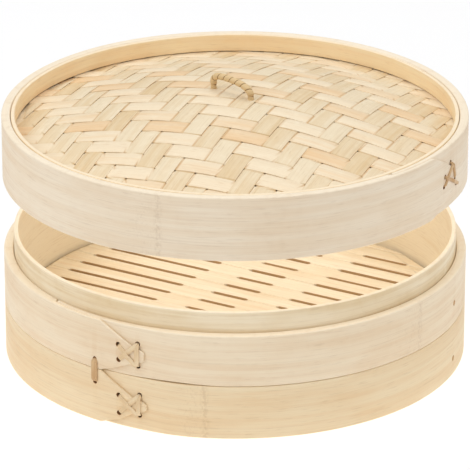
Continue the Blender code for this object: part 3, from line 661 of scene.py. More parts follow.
def join(name: str, meshes: Iterable[bpy.types.Mesh]) -> bpy.types.Mesh:
    """Put several meshes together in one mesh, which keeps the finish of each.

    Args:
        name: what the new mesh is called.
        meshes: the meshes, each of one finish.

    Returns:
        The new mesh.
    """
    work = bmesh.new()
    whole = bpy.data.meshes.new(name)
    finishes: list[bpy.types.Material] = []
    for mesh in meshes:
        finish = mesh.materials[mesh.polygons[0].material_index]
        if finish not in finishes:
            finishes.append(finish)
            whole.materials.append(finish)
        mesh.polygons.foreach_set("material_index", [finishes.index(finish)] * len(mesh.polygons))
        work.from_mesh(mesh)
    work.to_mesh(whole)
    work.free()
    return whole


TOP_FACE_HIGHLIGHT = 0.95     # how much of the painted edge highlight a strip's flat top gets
Section = list[tuple[float, float, float]]


def round_section(inner: float, outer: float, low: float, high: float, corner: float,
                  steps: int = 4) -> Section:
    """Section of a bent strip, with rounded corners.

    Args:
        inner: inner radius.
        outer: outer radius.
        low: bottom.
        high: top.
        corner: radius of the corners.
        steps: points on each corner.

    Returns:
        (radius, height, edge share) of each point, running round the section.
    """
    corner = min(corner, (outer - inner) / 2.05, (high - low) / 2.05)
    section = []
    far, near, up, down = outer - corner, inner + corner, high - corner, low + corner
    for quarter, (centre_r, centre_z) in enumerate(((far, up), (near, up), (near, down), (far, down))):
        for step in range(steps):
            turn = math.pi / 2 * (quarter + step / (steps - 1))
            # flat top faces take nearly the whole painted edge highlight
            top_face = (quarter, step) in ((0, steps - 1), (1, 0))
            share = TOP_FACE_HIGHLIGHT if top_face else 1 - abs(2 * step / (steps - 1) - 1) * 0.75
            section.append((centre_r + corner * math.cos(turn), centre_z + corner * math.sin(turn), share))
    return section


def sweep(name: str, stations: Sequence[tuple[float, Section]], closed: bool,
          material: bpy.types.Material) -> bpy.types.Mesh:
    """Join sections round the Z axis.

    Args:
        name: what the mesh is called.
        stations: an angle in degrees and a section for each station.
        closed: whether the last station meets the first.
        material: its finish.

    Returns:
        The mesh.
    """
    count = len(stations[0][1])
    points, edges = [], []
    for angle, section in stations:
        for radius, height, share in section:
            points.append(polar(radius, angle, height))
            edges.append(share)
    faces = []
    total = len(stations)
    for here in range(total if closed else total - 1):
        a, b = count * here, count * ((here + 1) % total)
        faces += [(a + k, b + k, b + (k + 1) % count, a + (k + 1) % count) for k in range(count)]
    if not closed:
        last = count * (total - 1)
        faces += [tuple(range(count)), tuple(range(last, last + count))]
    return solid(name, points, faces, material, edges)


BORE_SIDES = 20
SHARP_FROM = 50.0     # degrees between faces, from which a drilled edge is sharp


def drill(mesh: bpy.types.Mesh, holes: Sequence[Bore], inner: float, outer: float,
          lining: bpy.types.Material) -> bpy.types.Mesh:
    """Bore round holes along the radius through a bent strip.

    Args:
        mesh: the strip.
        holes: (angle, height, radius) of each hole.
        inner: where the cutters start.
        outer: where they stop.
        lining: the finish of the holes' walls, a darker brown that paints shade into the holes.

    Returns:
        The drilled mesh.
    """
    sides = BORE_SIDES
    points, faces = [], []
    for angle, height, radius in holes:
        out = polar(1.0, angle)
        across = Vector((-out.y, out.x, 0))
        base = len(points)
        for reach in (inner, outer):
            for k in range(sides):
                turn = math.tau * (k + 0.5) / sides
                points.append(out * reach + across * radius * math.cos(turn)
                              + Vector((0, 0, height + radius * math.sin(turn))))
        faces += [(base + k, base + (k + 1) % sides, base + sides + (k + 1) % sides, base + sides + k)
                  for k in range(sides)]
        faces += [tuple(base + k for k in range(sides)), tuple(base + sides + k for k in range(sides))]
    blank = bpy.data.objects.new("blank", mesh)
    bits = bpy.data.objects.new("bits", solid("bits", points, faces, lining))
    for thing in (blank, bits):
        bpy.context.scene.collection.objects.link(thing)
    cut = blank.modifiers.new("drill", "BOOLEAN")
    cut.operation, cut.solver, cut.object, cut.material_mode = "DIFFERENCE", "EXACT", bits, "TRANSFER"
    bpy.context.view_layer.update()
    graph = bpy.context.evaluated_depsgraph_get()
    drilled = bpy.data.meshes.new_from_object(blank.evaluated_get(graph), depsgraph=graph)
    blank.modifiers.clear()
    for thing in (blank, bits):
        bpy.data.objects.remove(thing, do_unlink=True)
    drilled.name = mesh.name
    drilled.set_sharp_from_angle(angle=math.radians(SHARP_FROM))
    return drilled


# ------------------------------------------------------------------ geometry trees
SHORTEST_SLOT = 10 * MM     # a gap between bars shorter than this gets no slot


class StripTrees:
    """Geometry trees for everything that repeats or follows a path."""

    def __init__(self) -> None:
        """Build each tree once."""
        self.laid = self._laid_tree()
        self.slats = self._slat_tree()
        self.cane = self._cane_tree()
        self.wound = self._wound_tree()

    @staticmethod
    def _row(bench: Bench, count: Field, bar: Field) -> Field:
        """Copy a bar once for each strip, with the strip's number on it."""
        dots = bench.take(bench.add("GeometryNodePoints", {"Count": count}))
        numbered = bench.store(dots, "strip", bench.take(bench.add("GeometryNodeInputIndex")) * 1.0)
        feeds = {"Points": numbered, "Instance": bar}
        return bench.realise(bench.take(bench.add("GeometryNodeInstanceOnPoints", feeds)))

    @staticmethod
    def _cut_to_circle(across: Field, circle: Field) -> tuple[Field, Field]:
        """Keep a place across a strip inside the circle, and give the strip's half length there."""
        limit = circle - 0.0002
        across = across.least(limit).most(limit * -1.0)
        return across, (circle * circle - across * across).most(1e-9).root()

    @staticmethod
    def _turned(run: Field, across: Field, direction: Field) -> tuple[Field, Field]:
        """Turn a place along and across the strips to their direction."""
        cosine, sine = direction.cos(), direction.sin()
        return run * cosine - across * sine, run * sine + across * cosine

    @staticmethod
    def _side(unit: Field, extent: Field, corner: Field, middle: Field | None = None) -> Field:
        """Stretch a unit section to a half extent about its middle, with its corners kept round."""
        flat = unit.sign() * (extent - corner)
        return (flat if middle is None else middle + flat) + unit * corner

    def _laid_tree(self) -> bpy.types.NodeTree:
        """Parallel strips cut to a circle, bent over a dome, passing over and under a crossing family.

        Returns:
            The tree.
        """
        bench = new_tree("laid_strips", "GeometryNodeTree")
        count, along, seed = bench.counts(Count=1, Along=120, Seed=1)
        material = bench.inlet("Material", "NodeSocketMaterial")
        size = bench.sizes(FirstEdge=0.0, Pitch=0.0117, Width=0.0108, Thickness=0.00045, Corner=0.0002,
                           Crown=0.0, Direction=0.0, Circle=0.12, DomeRise=0.0, DomeRadius=0.12,
                           DomePower=1.3, Level=0.0, WaveHeight=0.0, WaveGain=2.0, CrossBearing=0.0,
                           CrossStart=0.0, CrossPitch=0.0113, CrossShift=0.0, Sense=1.0)
        strips = self._row(bench, count, bench.blank_bar(16, along))
        c, s, t = bench.split(bench.named("ring", "FLOAT_VECTOR"))
        k = bench.named("strip")
        tone = bench.random(0.0, 1.0, k, seed)
        slim = bench.random(-0.025, 0.01, k, seed * 1.0 + 7.0)
        stray = bench.random(-0.00018, 0.00018, k, seed * 1.0 + 13.0)
        width = size["Width"] * (slim + 1.0)
        middle = size["FirstEdge"] + (k + 0.5) * size["Pitch"] + stray
        n, half = self._cut_to_circle(self._side(c, width / 2, size["Corner"], middle), size["Circle"])
        run = t * half
        x, y = self._turned(run, n, size["Direction"])
        share = (1.0 - (x * x + y * y) / (size["DomeRadius"] * size["DomeRadius"])).most(0.0)
        rise = size["DomeRise"] * share ** size["DomePower"]
        bearing = size["CrossBearing"]
        place = (x * bearing.cos() + y * bearing.sin() - size["CrossStart"]) / size["CrossPitch"]
        swing = ((place + k + size["CrossShift"]) * (math.tau / 4)).cos() * size["WaveGain"]
        wave = size["Sense"] * size["WaveHeight"] * swing / (swing * swing + 1.0).root()
        bow = (n - middle) / (width / 2)
        body = self._side(s, size["Thickness"] / 2, size["Corner"])
        z = size["Level"] + rise + wave + body - size["Crown"] * bow * bow
        # painted shade where a strip dips under its crossing strip; edge paints shade or a highlight along
        # the strip's sides
        dip_shade = (1.0 - swing.size() / (size["WaveGain"] * 0.34)).most(0.0) * size["WaveHeight"].over(0.0)
        moved = bench.place(strips, bench.combine(x, y, z))
        moved = bench.mark(moved, bench.combine(run, k * 0.35, n + body * 0.8), tone=tone,
                           edge=bow.size().ramp(0.88, 1.0), groove=dip_shade)
        bench.finish_tree(moved, material)
        return bench.tree

    def _slat_tree(self) -> bpy.types.NodeTree:
        """Floor slats cut to a circle, notched between the cross bars so that neighbours leave slots.

        Returns:
            The tree.
        """
        bench = new_tree("notched_slats", "GeometryNodeTree")
        count, along, seed = bench.counts(Count=19, Along=240, Seed=3)
        material = bench.inlet("Material", "NodeSocketMaterial")
        size = bench.sizes(FirstEdge=-0.118, Pitch=0.0125, Gap=0.0003, Thickness=0.003, Corner=0.0004,
                           Direction=-0.52, Circle=0.1186, Top=0.0235, SlotDepth=0.0017, Taper=0.0024,
                           LeftBar=-0.0288, RightBar=0.0127, BarSkew=0.08, BarClear=0.0091,
                           WallClear=0.012)
        slats = self._row(bench, count, bench.blank_bar(16, along))
        c, s, t = bench.split(bench.named("ring", "FLOAT_VECTOR"))
        k = bench.named("strip")
        middle = size["FirstEdge"] + (k + 0.5) * size["Pitch"]
        border = middle + c.sign() * size["Pitch"] / 2
        side = self._side(c, (size["Pitch"] - size["Gap"]) / 2, size["Corner"], middle)
        n, half = self._cut_to_circle(side, size["Circle"])
        run = t * half
        wall = (size["Circle"] * size["Circle"] - border * border).most(0.0).root() - size["WallClear"]
        left = size["LeftBar"] + size["BarSkew"] * border
        right = size["RightBar"] + size["BarSkew"] * border
        clear = size["BarClear"]
        columns = ((wall * -1.0, left - clear), (left + clear, right - clear), (right + clear, wall))
        notch: Value = 0.0
        for start, stop in columns:
            start, stop = start.most(wall * -1.0), stop.least(wall)
            rise = ((run - start) / size["Taper"]).most(0.0).least(1.0)
            fall = ((stop - run) / size["Taper"]).most(0.0).least(1.0)
            blunt = (1.0 - (1.0 - rise) ** 2.0).root() * (1.0 - (1.0 - fall) ** 2.0).root()
            notch = blunt * (stop - start).over(SHORTEST_SLOT) + notch
        n = n - c.sign() * size["SlotDepth"] * notch
        x, y = self._turned(run, n, size["Direction"])
        settle = bench.random(-0.00022, 0.0, k, seed * 1.0 + 5.0)
        body = self._side(s, size["Thickness"] / 2, size["Corner"])
        z = size["Top"] - size["Thickness"] / 2 + body + settle
        moved = bench.place(slats, bench.combine(x, y, z))
        # the notched slot walls get painted shade, the top corners a painted highlight
        moved = bench.mark(moved, bench.combine(run, k * 0.35, n + body * 0.8),
                           tone=bench.random(0.0, 1.0, k, seed),
                           edge=c.size().ramp(0.3, 1.0) * s.ramp(0.0, 0.7),
                           groove=s.size().ramp(0.25, 0.6, 1.0, 0.0) * notch.least(1.0))
        bench.finish_tree(moved, material)
        return bench.tree

    @staticmethod
    def _path(bench: Bench, share: Field) -> tuple[Field, Field]:
        """Open the path input, and give the place and the direction at a share of its length."""
        feeds = {"Curves": bench.inlet("Geometry", "NodeSocketGeometry"), "Factor": share}
        sample = bench.add("GeometryNodeSampleCurve", feeds, mode="FACTOR", use_all_curves=True)
        return bench.take(sample, "Position"), bench.take(sample, "Tangent")

    def _cane_tree(self) -> bpy.types.NodeTree:
        """One length of cane along a path, flat side out.

        Returns:
            The tree.
        """
        bench = new_tree("cane_along_path", "GeometryNodeTree")
        c, s, t = bench.split(bench.named("ring", "FLOAT_VECTOR"))
        spot, tangent = self._path(bench, t * 0.5 + 0.5)
        along, = bench.counts(Along=60)
        material = bench.inlet("Material", "NodeSocketMaterial")
        across = bench.inlet("Across", "NodeSocketVector")
        size = bench.sizes(Width=0.0026, Thickness=0.0008, Corner=0.0003, Narrowing=0.3, Length=0.02)
        bar = bench.realise(bench.blank_bar(16, along))
        out = bench.cross(across, tangent)
        slim = 1.0 - size["Narrowing"] * (t * t * t * t)
        wide = self._side(c, size["Width"] / 2 * slim, size["Corner"])
        deep = self._side(s, size["Thickness"] / 2, size["Corner"])
        bow = wide / (size["Width"] / 2)
        crown = (1.0 - bow * bow) * size["Thickness"] * 0.18 * s.ramp(-0.2, 0.2)
        made = bench.place(bar, bench.shift(spot, (across, wide), (out, deep + crown)))
        # the cane's sides get the painted edge highlight
        made = bench.mark(made, bench.combine(t * size["Length"], deep, wide + deep),
                          edge=c.size().ramp(0.5, 1.0))
        bench.finish_tree(made, material)
        return bench.tree

    def _wound_tree(self) -> bpy.types.NodeTree:
        """A core bound with cane: a tube along a path whose surface climbs in rounded turns.

        Returns:
            The tree.
        """
        bench = new_tree("wound_core", "GeometryNodeTree")
        c, s, t = bench.split(bench.named("ring", "FLOAT_VECTOR"))
        share = t * 0.5 + 0.5
        spot, tangent = self._path(bench, share)
        along, = bench.counts(Along=260)
        material = bench.inlet("Material", "NodeSocketMaterial")
        side = bench.inlet("Side", "NodeSocketVector")
        size = bench.sizes(Core=0.00135, Wrap=0.0005, Turns=8.0, Length=0.04)
        bar = bench.realise(bench.blank_bar(32, along))
        up = bench.cross(side, tangent)
        turn = bench.math("ARCTAN2", s, c) / math.tau
        climb = share * size["Turns"] - turn
        away = ((climb + 4.0).part() * 2.0 - 1.0).size()
        ridge = (1.0 - away ** 5.0).most(0.0) ** 0.6
        end = (1.0 - (t * t) ** 24.0).most(0.0).root()
        radius = (size["Core"] + size["Wrap"] * ridge) * end
        made = bench.place(bar, bench.shift(spot, (side, c * radius), (up, s * radius)))
        # painted shade in the valleys between the turns of the wrap
        made = bench.mark(made, bench.combine(turn * 0.011, climb * 0.4, t * size["Length"]),
                          groove=away.ramp(0.70, 1.0), tone=(t * t) ** 5.0)
        bench.finish_tree(made, material)
        return bench.tree


CURVE_STEPS = 8     # points laid between two corners of a path


def path_curve(name: str, points: Sequence[Vector]) -> tuple[bpy.types.Curve, float]:
    """A poly curve through points that are first smoothed, with its length.

    Args:
        name: what the curve is called.
        points: corners of the path.

    Returns:
        The curve and its length.
    """
    dense = [points[0]]
    for i in range(len(points) - 1):
        before, here = points[max(i - 1, 0)], points[i]
        there, after = points[i + 1], points[min(i + 2, len(points) - 1)]
        for step in range(1, CURVE_STEPS + 1):
            u = step / CURVE_STEPS
            square = (2 * before - 5 * here + 4 * there - after) * u ** 2
            cube = (3 * here - before - 3 * there + after) * u ** 3
            dense.append(0.5 * ((2 * here) + (there - before) * u + square + cube))
    curve = bpy.data.curves.new(name, "CURVE")
    curve.dimensions = "3D"
    spline = curve.splines.new("POLY")
    spline.points.add(len(dense) - 1)
    for dot, point in zip(spline.points, dense):
        dot.co = (*point, 1.0)
    return curve, sum((b - a).length for a, b in zip(dense, dense[1:]))


# ------------------------------------------------------------------ bands
FINE_STEP, COARSE_STEP = 0.5, 1.0     # degrees between sections, near a lap and elsewhere
TAPER_FROM = -14.0                    # degrees before the tip from which the tongue needs fine steps
GAPE_AT, GAPE_REACH = 7.0, 14.0       # degrees past the tip where a bottom edge lifts, and how far each way
LAP_GAP = 0.12 * MM                   # between the two plies of a lap
BIT_REACH = 4 * MM                    # how far a drill runs past both faces


@dataclass(frozen=True)
class Lap:
    """How a band's outer end tapers over its inner end."""

    tip: float
    low_edge: tuple[Flat, ...]
    high_edge: tuple[Flat, ...]
    span: float = 28.0
    ramp: float = 12.0


@dataclass(frozen=True)
class Hole:
    """A stitch hole: degrees from the lap's tip, and share of the band's height."""

    offset: float
    share: float


@dataclass
class LappedBand:
    """A bamboo band bent once round, its tapered outer end stitched down over its inner end."""

    name: str
    node: str
    lap: Lap
    holes: dict[str, Hole]
    finish: BambooFinish
    wall: float = 5.25 * MM
    corner: float = 0.75 * MM
    hole_radius: float = 1.45 * MM
    top_drop: float = 0.2 * MM
    bottom_drop: float = 0.0
    gape: float = 0.0
    sway: float = 0.12 * MM
    extra_holes: tuple[Bore, ...] = ()
    low: float = field(init=False)
    high: float = field(init=False)
    outer: float = field(init=False)

    def __post_init__(self) -> None:
        """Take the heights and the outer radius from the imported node."""
        bottom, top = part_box(self.node)
        self.low, self.high, self.outer = bottom.z - self.bottom_drop, top.z, top.x

    @property
    def inner(self) -> float:
        """Inner radius."""
        return self.outer - self.wall

    def spot(self, key: str) -> Flat:
        """Angle and height of a stitch hole."""
        hole = self.holes[key]
        return self.lap.tip + hole.offset, self.low + hole.share * (self.high - self.low)

    def _sway(self, angle: float) -> float:
        """Small hand-planed unevenness of the top edge."""
        turn = math.radians(angle)
        wander = math.sin(3 * turn + self.high * 90) + 0.55 * math.sin(7 * turn + self.high * 40)
        return self.sway * wander

    def _foot(self, offset: float) -> float:
        """Height of the bottom edge, which lifts a little just past the lap's tip."""
        return self.low + self.gape * ease(1 - abs(offset - GAPE_AT) / GAPE_REACH)

    def _body(self, under: Sequence[Flat]) -> list[tuple[float, Section]]:
        """Sections of the band from its hidden inner end round to the lap.

        Args:
            under: (degrees, radius) marks of the outside of the ply under the lap.

        Returns:
            A bearing and a section for each station.
        """
        lap, stations = self.lap, []
        offset = -lap.span + 0.2
        while offset < 360 - lap.span - 0.3:
            face = read_off(offset, under) if offset < lap.ramp else self.outer
            angle = lap.tip + offset
            top = self.high + self._sway(angle) - self.top_drop
            stations.append((angle, round_section(self.inner, face, self._foot(offset), top, self.corner)))
            offset += FINE_STEP if offset < lap.ramp else COARSE_STEP
        return stations

    def _tongue(self, under: Sequence[Flat]) -> list[tuple[float, Section]]:
        """Sections of the outer end, which tapers to its tip over the inner end.

        Args:
            under: (degrees, radius) marks of the outside of the ply under the lap.

        Returns:
            A bearing and a section for each station.
        """
        lap, depth, stations = self.lap, self.high - self.low, []
        offset = -lap.span
        while offset < 0.001:
            inside = read_off(offset, under) + LAP_GAP
            angle = lap.tip + 360 + offset
            bottom = self.low + read_off(offset, lap.low_edge) * depth
            top = self.low + read_off(offset, lap.high_edge) * depth
            level = (self._sway(angle) - self.top_drop) * ease((top - self.low) / depth * 4 - 3)
            corner = min(self.corner, (self.outer - inside) * 0.33)
            stations.append((angle, round_section(inside, self.outer, bottom, top + level, corner)))
            offset += FINE_STEP / 2 if offset > TAPER_FROM else COARSE_STEP
        return stations

    def mesh(self, effects: Effects) -> bpy.types.Mesh:
        """Bend the band and drill it.

        Args:
            effects: the shared shader groups.

        Returns:
            The drilled band.
        """
        lap = self.lap
        under = [(-lap.span, self.outer - 0.59 * self.wall), (0.0, self.outer - 0.23 * self.wall),
                 (lap.ramp * 0.5, self.outer - 0.07 * self.wall), (lap.ramp, self.outer)]
        stations = self._body(under) + self._tongue(under)
        mesh = sweep(self.name, stations, False, self.finish.material(effects))
        bores = [(*self.spot(key), self.hole_radius) for key in self.holes] + list(self.extra_holes)
        return drill(mesh, bores, self.inner - BIT_REACH, self.outer + BIT_REACH, effects.bore)


@dataclass
class Hoop:
    """A plain closed ring of bent bamboo."""

    name: str
    node: str
    wall: float
    finish: BambooFinish
    corner: float = 0.5 * MM
    outside_tone: float = 0.8
    top_drop: float = 0.16 * MM
    bores: tuple[Bore, ...] = ()

    def mesh(self, effects: Effects) -> bpy.types.Mesh:
        """Bend the ring.

        Args:
            effects: the shared shader groups.

        Returns:
            The ring.
        """
        bottom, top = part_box(self.node)
        inner = top.x - self.wall
        stations = []
        for step in range(360):
            turn = math.radians(step)
            sway = 0.00010 * math.sin(4 * turn + top.z * 70) + 0.00006 * math.sin(9 * turn)
            section = round_section(inner, top.x, bottom.z, top.z - self.top_drop + sway, self.corner)
            stations.append((float(step), section))
        mesh = sweep(self.name, stations, True, self.finish.material(effects))
        middle = top.x - self.wall / 2
        tones = [self.outside_tone if point.co.xy.length > middle else 0.0 for point in mesh.vertices]
        mesh.attributes.new("tone", "FLOAT", "POINT").data.foreach_set("value", tones)
        if self.bores:
            mesh = drill(mesh, self.bores, inner - 3 * MM, top.x + 3 * MM, effects.bore)
        return mesh


# ------------------------------------------------------------------ lacing
# How a run leaves its hole and passes its middle: place along it, and height over the face
# (-1 is deep in the hole, above a half stands off by the run's own lift).
OUT_OF_HOLE = ((0.1, -1.0), (0.42, -0.42), (1.15, 0.05), (2.6, 0.2))
OVER_MIDDLE = ((0.35, 0.22), (0.5, 1.0), (0.65, 0.22))


@dataclass
class CaneLacing:
    """Flat cane sewn through holes in a band: runs on the face, and runs behind it."""

    name: str
    finish: BambooFinish
    outer: float
    inner: float
    front: tuple[tuple[Flat, Flat, float], ...]
    back: tuple[tuple[Flat, Flat], ...]
    width: float = 2.6 * MM
    thickness: float = 0.8 * MM
    inset: float = 1.35 * MM

    def _run(self, trees: StripTrees, material: bpy.types.Material, start: Flat, stop: Flat, lift: float,
             outside: bool) -> bpy.types.Mesh:
        """Lay one run of cane from hole to hole, with its ends turned in.

        Args:
            trees: the geometry trees.
            material: the cane's finish.
            start: angle and height of the first hole.
            stop: angle and height of the second hole.
            lift: how far it stands off the face at its middle, where it crosses another run.
            outside: True on the face of the band, False behind it.

        Returns:
            The mesh of the run.
        """
        face = self.outer + self.thickness * 0.5 if outside else self.inner + self.thickness * 0.38
        deep = self.outer - 1.7 * MM if outside else self.inner + 2.2 * MM
        sense = 1.0 if outside else -1.0
        arc = math.radians(stop[0] - start[0]) * face
        length = math.hypot(arc, stop[1] - start[1])
        points = []
        inset = self.inset / length
        rise = [(reach * inset, height) for reach, height in OUT_OF_HOLE]
        back = [(1 - share, height) for share, height in reversed(rise)]
        for share, height in (*rise, *OVER_MIDDLE, *back):
            if height < 0:
                radius = face + (deep - face) * -height
            else:
                radius = face + sense * (height * lift if height > 0.5 else 0.15 * height * self.thickness)
            points.append(polar(radius, start[0] + (stop[0] - start[0]) * share,
                                start[1] + (stop[1] - start[1]) * share))
        curve, measured = path_curve(self.name, points)
        middle = (start[0] + stop[0]) / 2
        round_way = polar(1.0, middle + 90)
        along = (round_way * arc + Vector((0, 0, stop[1] - start[1]))) / length
        out = polar(1.0, middle)
        across = along.cross(out).normalized() * -sense
        return grow(self.name, trees.cane, {
            "Across": across, "Width": self.width, "Thickness": self.thickness,
            "Corner": self.thickness * 0.32, "Narrowing": 0.36, "Along": 72, "Length": measured / 2,
            "Material": material}, curve)

    def mesh(self, trees: StripTrees, effects: Effects) -> bpy.types.Mesh:
        """Lay every run and put them together."""
        material = self.finish.material(effects)
        runs = [self._run(trees, material, start, stop, lift, True) for start, stop, lift in self.front]
        runs += [self._run(trees, material, start, stop, 0.0, False) for start, stop in self.back]
        return join(self.name, runs)


def peg_mesh(name: str, angle: float, height: float, radius: float, inner: float, outer: float,
             material: bpy.types.Material) -> bpy.types.Mesh:
    """A short bamboo pin driven in along the radius, its end left slightly domed.

    Args:
        name: what the mesh is called.
        angle: bearing of the pin.
        height: height of its axis.
        radius: its radius.
        inner: where it starts.
        outer: where it ends.
        material: its finish.

    Returns:
        The mesh.
    """
    out = polar(1.0, angle)
    across = Vector((-out.y, out.x, 0))
    rings = [(inner, radius * 0.85), (inner + 0.3 * MM, radius), (outer - 0.6 * MM, radius),
             (outer - 0.25 * MM, radius * 0.95), (outer - 0.08 * MM, radius * 0.72), (outer, radius * 0.3)]
    sides = 24
    points, faces = [], []
    for reach, wide in rings:
        for k in range(sides):
            turn = math.tau * k / sides
            wobble = 1 + 0.035 * math.sin(3 * turn + angle)
            points.append(out * reach + across * wide * wobble * math.cos(turn)
                          + Vector((0, 0, height + wide * wobble * math.sin(turn))))
    for ring in range(len(rings) - 1):
        a, b = sides * ring, sides * (ring + 1)
        faces += [(a + k, a + (k + 1) % sides, b + (k + 1) % sides, b + k) for k in range(sides)]
    last = sides * (len(rings) - 1)
    faces += [tuple(range(sides)), tuple(range(last, last + sides))]
    return solid(name, points, faces, material)


# ------------------------------------------------------------------ floor
HOOP_WALL = 2.5 * MM      # the inner hoop of the tier


@dataclass
class SlattedFloor:
    """Slats side by side on two cross bars, which rest on a ledge ring."""

    slats: int = 19
    direction: float = -30.0
    inset: float = 0.048
    bar_skew: float = math.atan(0.08)
    bar_offsets: Flat = (-28.8 * MM, 12.7 * MM)
    bar_width: float = 14 * MM
    slot_width: float = 2.9 * MM
    end_gap: float = 1.2 * MM
    gap: float = 0.3 * MM

    def pieces(self, trees: StripTrees, effects: Effects) -> list[Piece]:
        """Cut the slats, the bars and the ledge.

        Args:
            trees: the geometry trees.
            effects: the shared shader groups.

        Returns:
            The three pieces, each with its nodes.
        """
        hoop_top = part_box("inner_hoop")[1]
        circle = hoop_top.x - HOOP_WALL - 0.35 * MM
        pitch = 2 * circle / (self.slats - self.inset / 2)
        low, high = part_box("slat_10")
        slat_finish = SLAT.material(effects)
        floor = grow("floor_slats", trees.slats, {
            "Count": self.slats, "Along": 260, "Seed": 4, "Material": slat_finish,
            "FirstEdge": -circle + self.inset * pitch, "Pitch": pitch, "Gap": self.gap,
            "Thickness": high.z - low.z, "Corner": 0.35 * MM, "Direction": math.radians(self.direction),
            "Circle": circle - self.end_gap, "Top": high.z, "SlotDepth": (self.slot_width - self.gap) / 2,
            "Taper": 2.2 * MM, "LeftBar": self.bar_offsets[0], "RightBar": self.bar_offsets[1],
            "BarSkew": math.tan(self.bar_skew), "BarClear": self.bar_width / 2 + 2.1 * MM,
            "WallClear": 12 * MM})
        bar_low, bar_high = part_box("cross_bar_left")
        spacing = (self.bar_offsets[1] - self.bar_offsets[0]) * math.cos(self.bar_skew)
        first = -self.bar_offsets[1] * math.cos(self.bar_skew) - spacing / 2
        bars = grow("cross_bars", trees.laid, {
            "Count": 2, "Along": 80, "Seed": 8, "Material": slat_finish, "FirstEdge": first,
            "Pitch": spacing, "Width": self.bar_width, "Thickness": bar_high.z - bar_low.z,
            "Corner": 0.7 * MM,
            "Direction": math.radians(self.direction + 90) - self.bar_skew, "Circle": circle,
            "Level": (bar_low.z + bar_high.z) / 2})
        ledge = Hoop("floor_ledge", "floor_ledge_ring", 3 * MM, HOOP)
        names = tuple(f"slat_{number + 1:02d}" for number in range(self.slats))
        return [Piece("floor_slats", floor, "basket", "bamboo_slat", names),
                Piece("floor_cross_bars", bars, "basket", "bamboo_slat",
                      ("cross_bar_left", "cross_bar_right")),
                Piece(ledge.name, ledge.mesh(effects), "basket", "bamboo_slat", (ledge.node,))]


# ------------------------------------------------------------------ lid
MAT_LEVEL = 0.5 * MM      # middle of a mat at its edge, over the bottom of its node
MAT_TOP = 1.0 * MM        # its upper side there


@dataclass
class DomedMat:
    """Two families of bamboo strips woven two over, two under, pressed into a dome."""

    name: str
    node: str
    directions: Flat = (-20.0, -113.0)
    first_edges: Flat = (-120.6 * MM, -122.3 * MM)
    pitches: Flat = (11.7 * MM, 11.3 * MM)
    cross_starts: Flat = (2.0 * MM, -73.8 * MM)
    shifts: Flat = (0.0, 1.0)
    counts: tuple[int, int] = (21, 22)
    widths: Flat = (10.95 * MM, 10.55 * MM)
    thickness: float = 0.45 * MM
    wave: float = 0.3 * MM
    dome_rise: float = 18.5 * MM
    dome_radius: float = 119.7 * MM
    dome_power: float = 1.3
    along: int = 140

    def mesh(self, trees: StripTrees, effects: Effects) -> bpy.types.Mesh:
        """Weave the mat.

        Args:
            trees: the geometry trees.
            effects: the shared shader groups.

        Returns:
            The mat.
        """
        low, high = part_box(self.node)
        level = low.z + MAT_LEVEL
        circle = high.x
        families = []
        for family, strip in enumerate((WEAVE, CROSS_WEAVE)):
            families.append(grow(self.name, trees.laid, {
                "Count": self.counts[family], "Along": self.along, "Seed": 21 + family,
                "Material": strip.material(effects),
                "FirstEdge": self.first_edges[family], "Pitch": self.pitches[family],
                "Width": self.widths[family], "Thickness": self.thickness, "Corner": 0.18 * MM,
                "Crown": 0.07 * MM, "Direction": math.radians(self.directions[family]), "Circle": circle,
                "DomeRise": self.dome_rise, "DomeRadius": self.dome_radius, "DomePower": self.dome_power,
                "Level": level, "WaveHeight": self.wave, "WaveGain": 2.4,
                "CrossBearing": math.radians(self.directions[1 - family] + 90),
                "CrossStart": self.cross_starts[family], "CrossPitch": self.pitches[1 - family],
                "CrossShift": self.shifts[family], "Sense": 1.0 - 2.0 * family}))
        return join(self.name, families)


@dataclass
class LidFrame:
    """The bent splints under the mats, and where the handle stands."""

    centre: Flat = (-1.5 * MM, 4.6 * MM)
    handle_bearing: float = -42.3
    rib_spread: float = 44 * MM
    rib_width: float = 8 * MM
    rib_thickness: float = 1.5 * MM
    dome: DomedMat = field(default_factory=lambda: DomedMat("", ""))

    def rise(self, radius: float) -> float:
        """Height of the dome over its edge at a radius."""
        share = max(1 - (radius / self.dome.dome_radius) ** 2, 0.0)
        return self.dome.dome_rise * share ** self.dome.dome_power

    def splints(self, trees: StripTrees, effects: Effects) -> bpy.types.Mesh:
        """Bend the three splints.

        Args:
            trees: the geometry trees.
            effects: the shared shader groups.

        Returns:
            The splints in one mesh.
        """
        top_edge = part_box("lid_woven_top")[0].z + MAT_TOP
        centre = Vector((*self.centre, 0.0))
        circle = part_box("lid_upper_ring")[1].x - 0.8 * MM
        finish = SLAT.material(effects)
        runs = []
        for turn, offset, count, drop in ((90.0, -self.rib_width / 2, 1, 0.0),
                                          (0.0, -2 * self.rib_spread, 2, 1.8 * MM)):
            direction = math.radians(self.handle_bearing + turn)
            across = centre.dot(Vector((-math.sin(direction), math.cos(direction), 0)))
            pitch = 2 * self.rib_spread if count == 2 else self.rib_width
            runs.append(grow("splints", trees.laid, {
                "Count": count, "Along": 90, "Seed": 31 + count, "Material": finish,
                "FirstEdge": across + offset, "Pitch": pitch, "Width": self.rib_width,
                "Thickness": self.rib_thickness, "Corner": 0.3 * MM, "Direction": direction,
                "Circle": circle, "DomeRise": self.dome.dome_rise, "DomeRadius": self.dome.dome_radius,
                "DomePower": self.dome.dome_power,
                "Level": top_edge - 2.7 * MM - drop - self.rib_thickness / 2}))
        return join("lid_splints", runs)


# The arch: place from foot to foot as a share of its span, and share of its height.
ARCH = ((-0.500, -0.07), (-0.503, 0.1), (-0.502, 0.38), (-0.478, 0.67), (-0.405, 0.92), (-0.27, 1.02),
        (-0.10, 1.03), (0.08, 0.98), (0.25, 0.86), (0.385, 0.66), (0.470, 0.38), (0.496, 0.1), (0.500, -0.07))


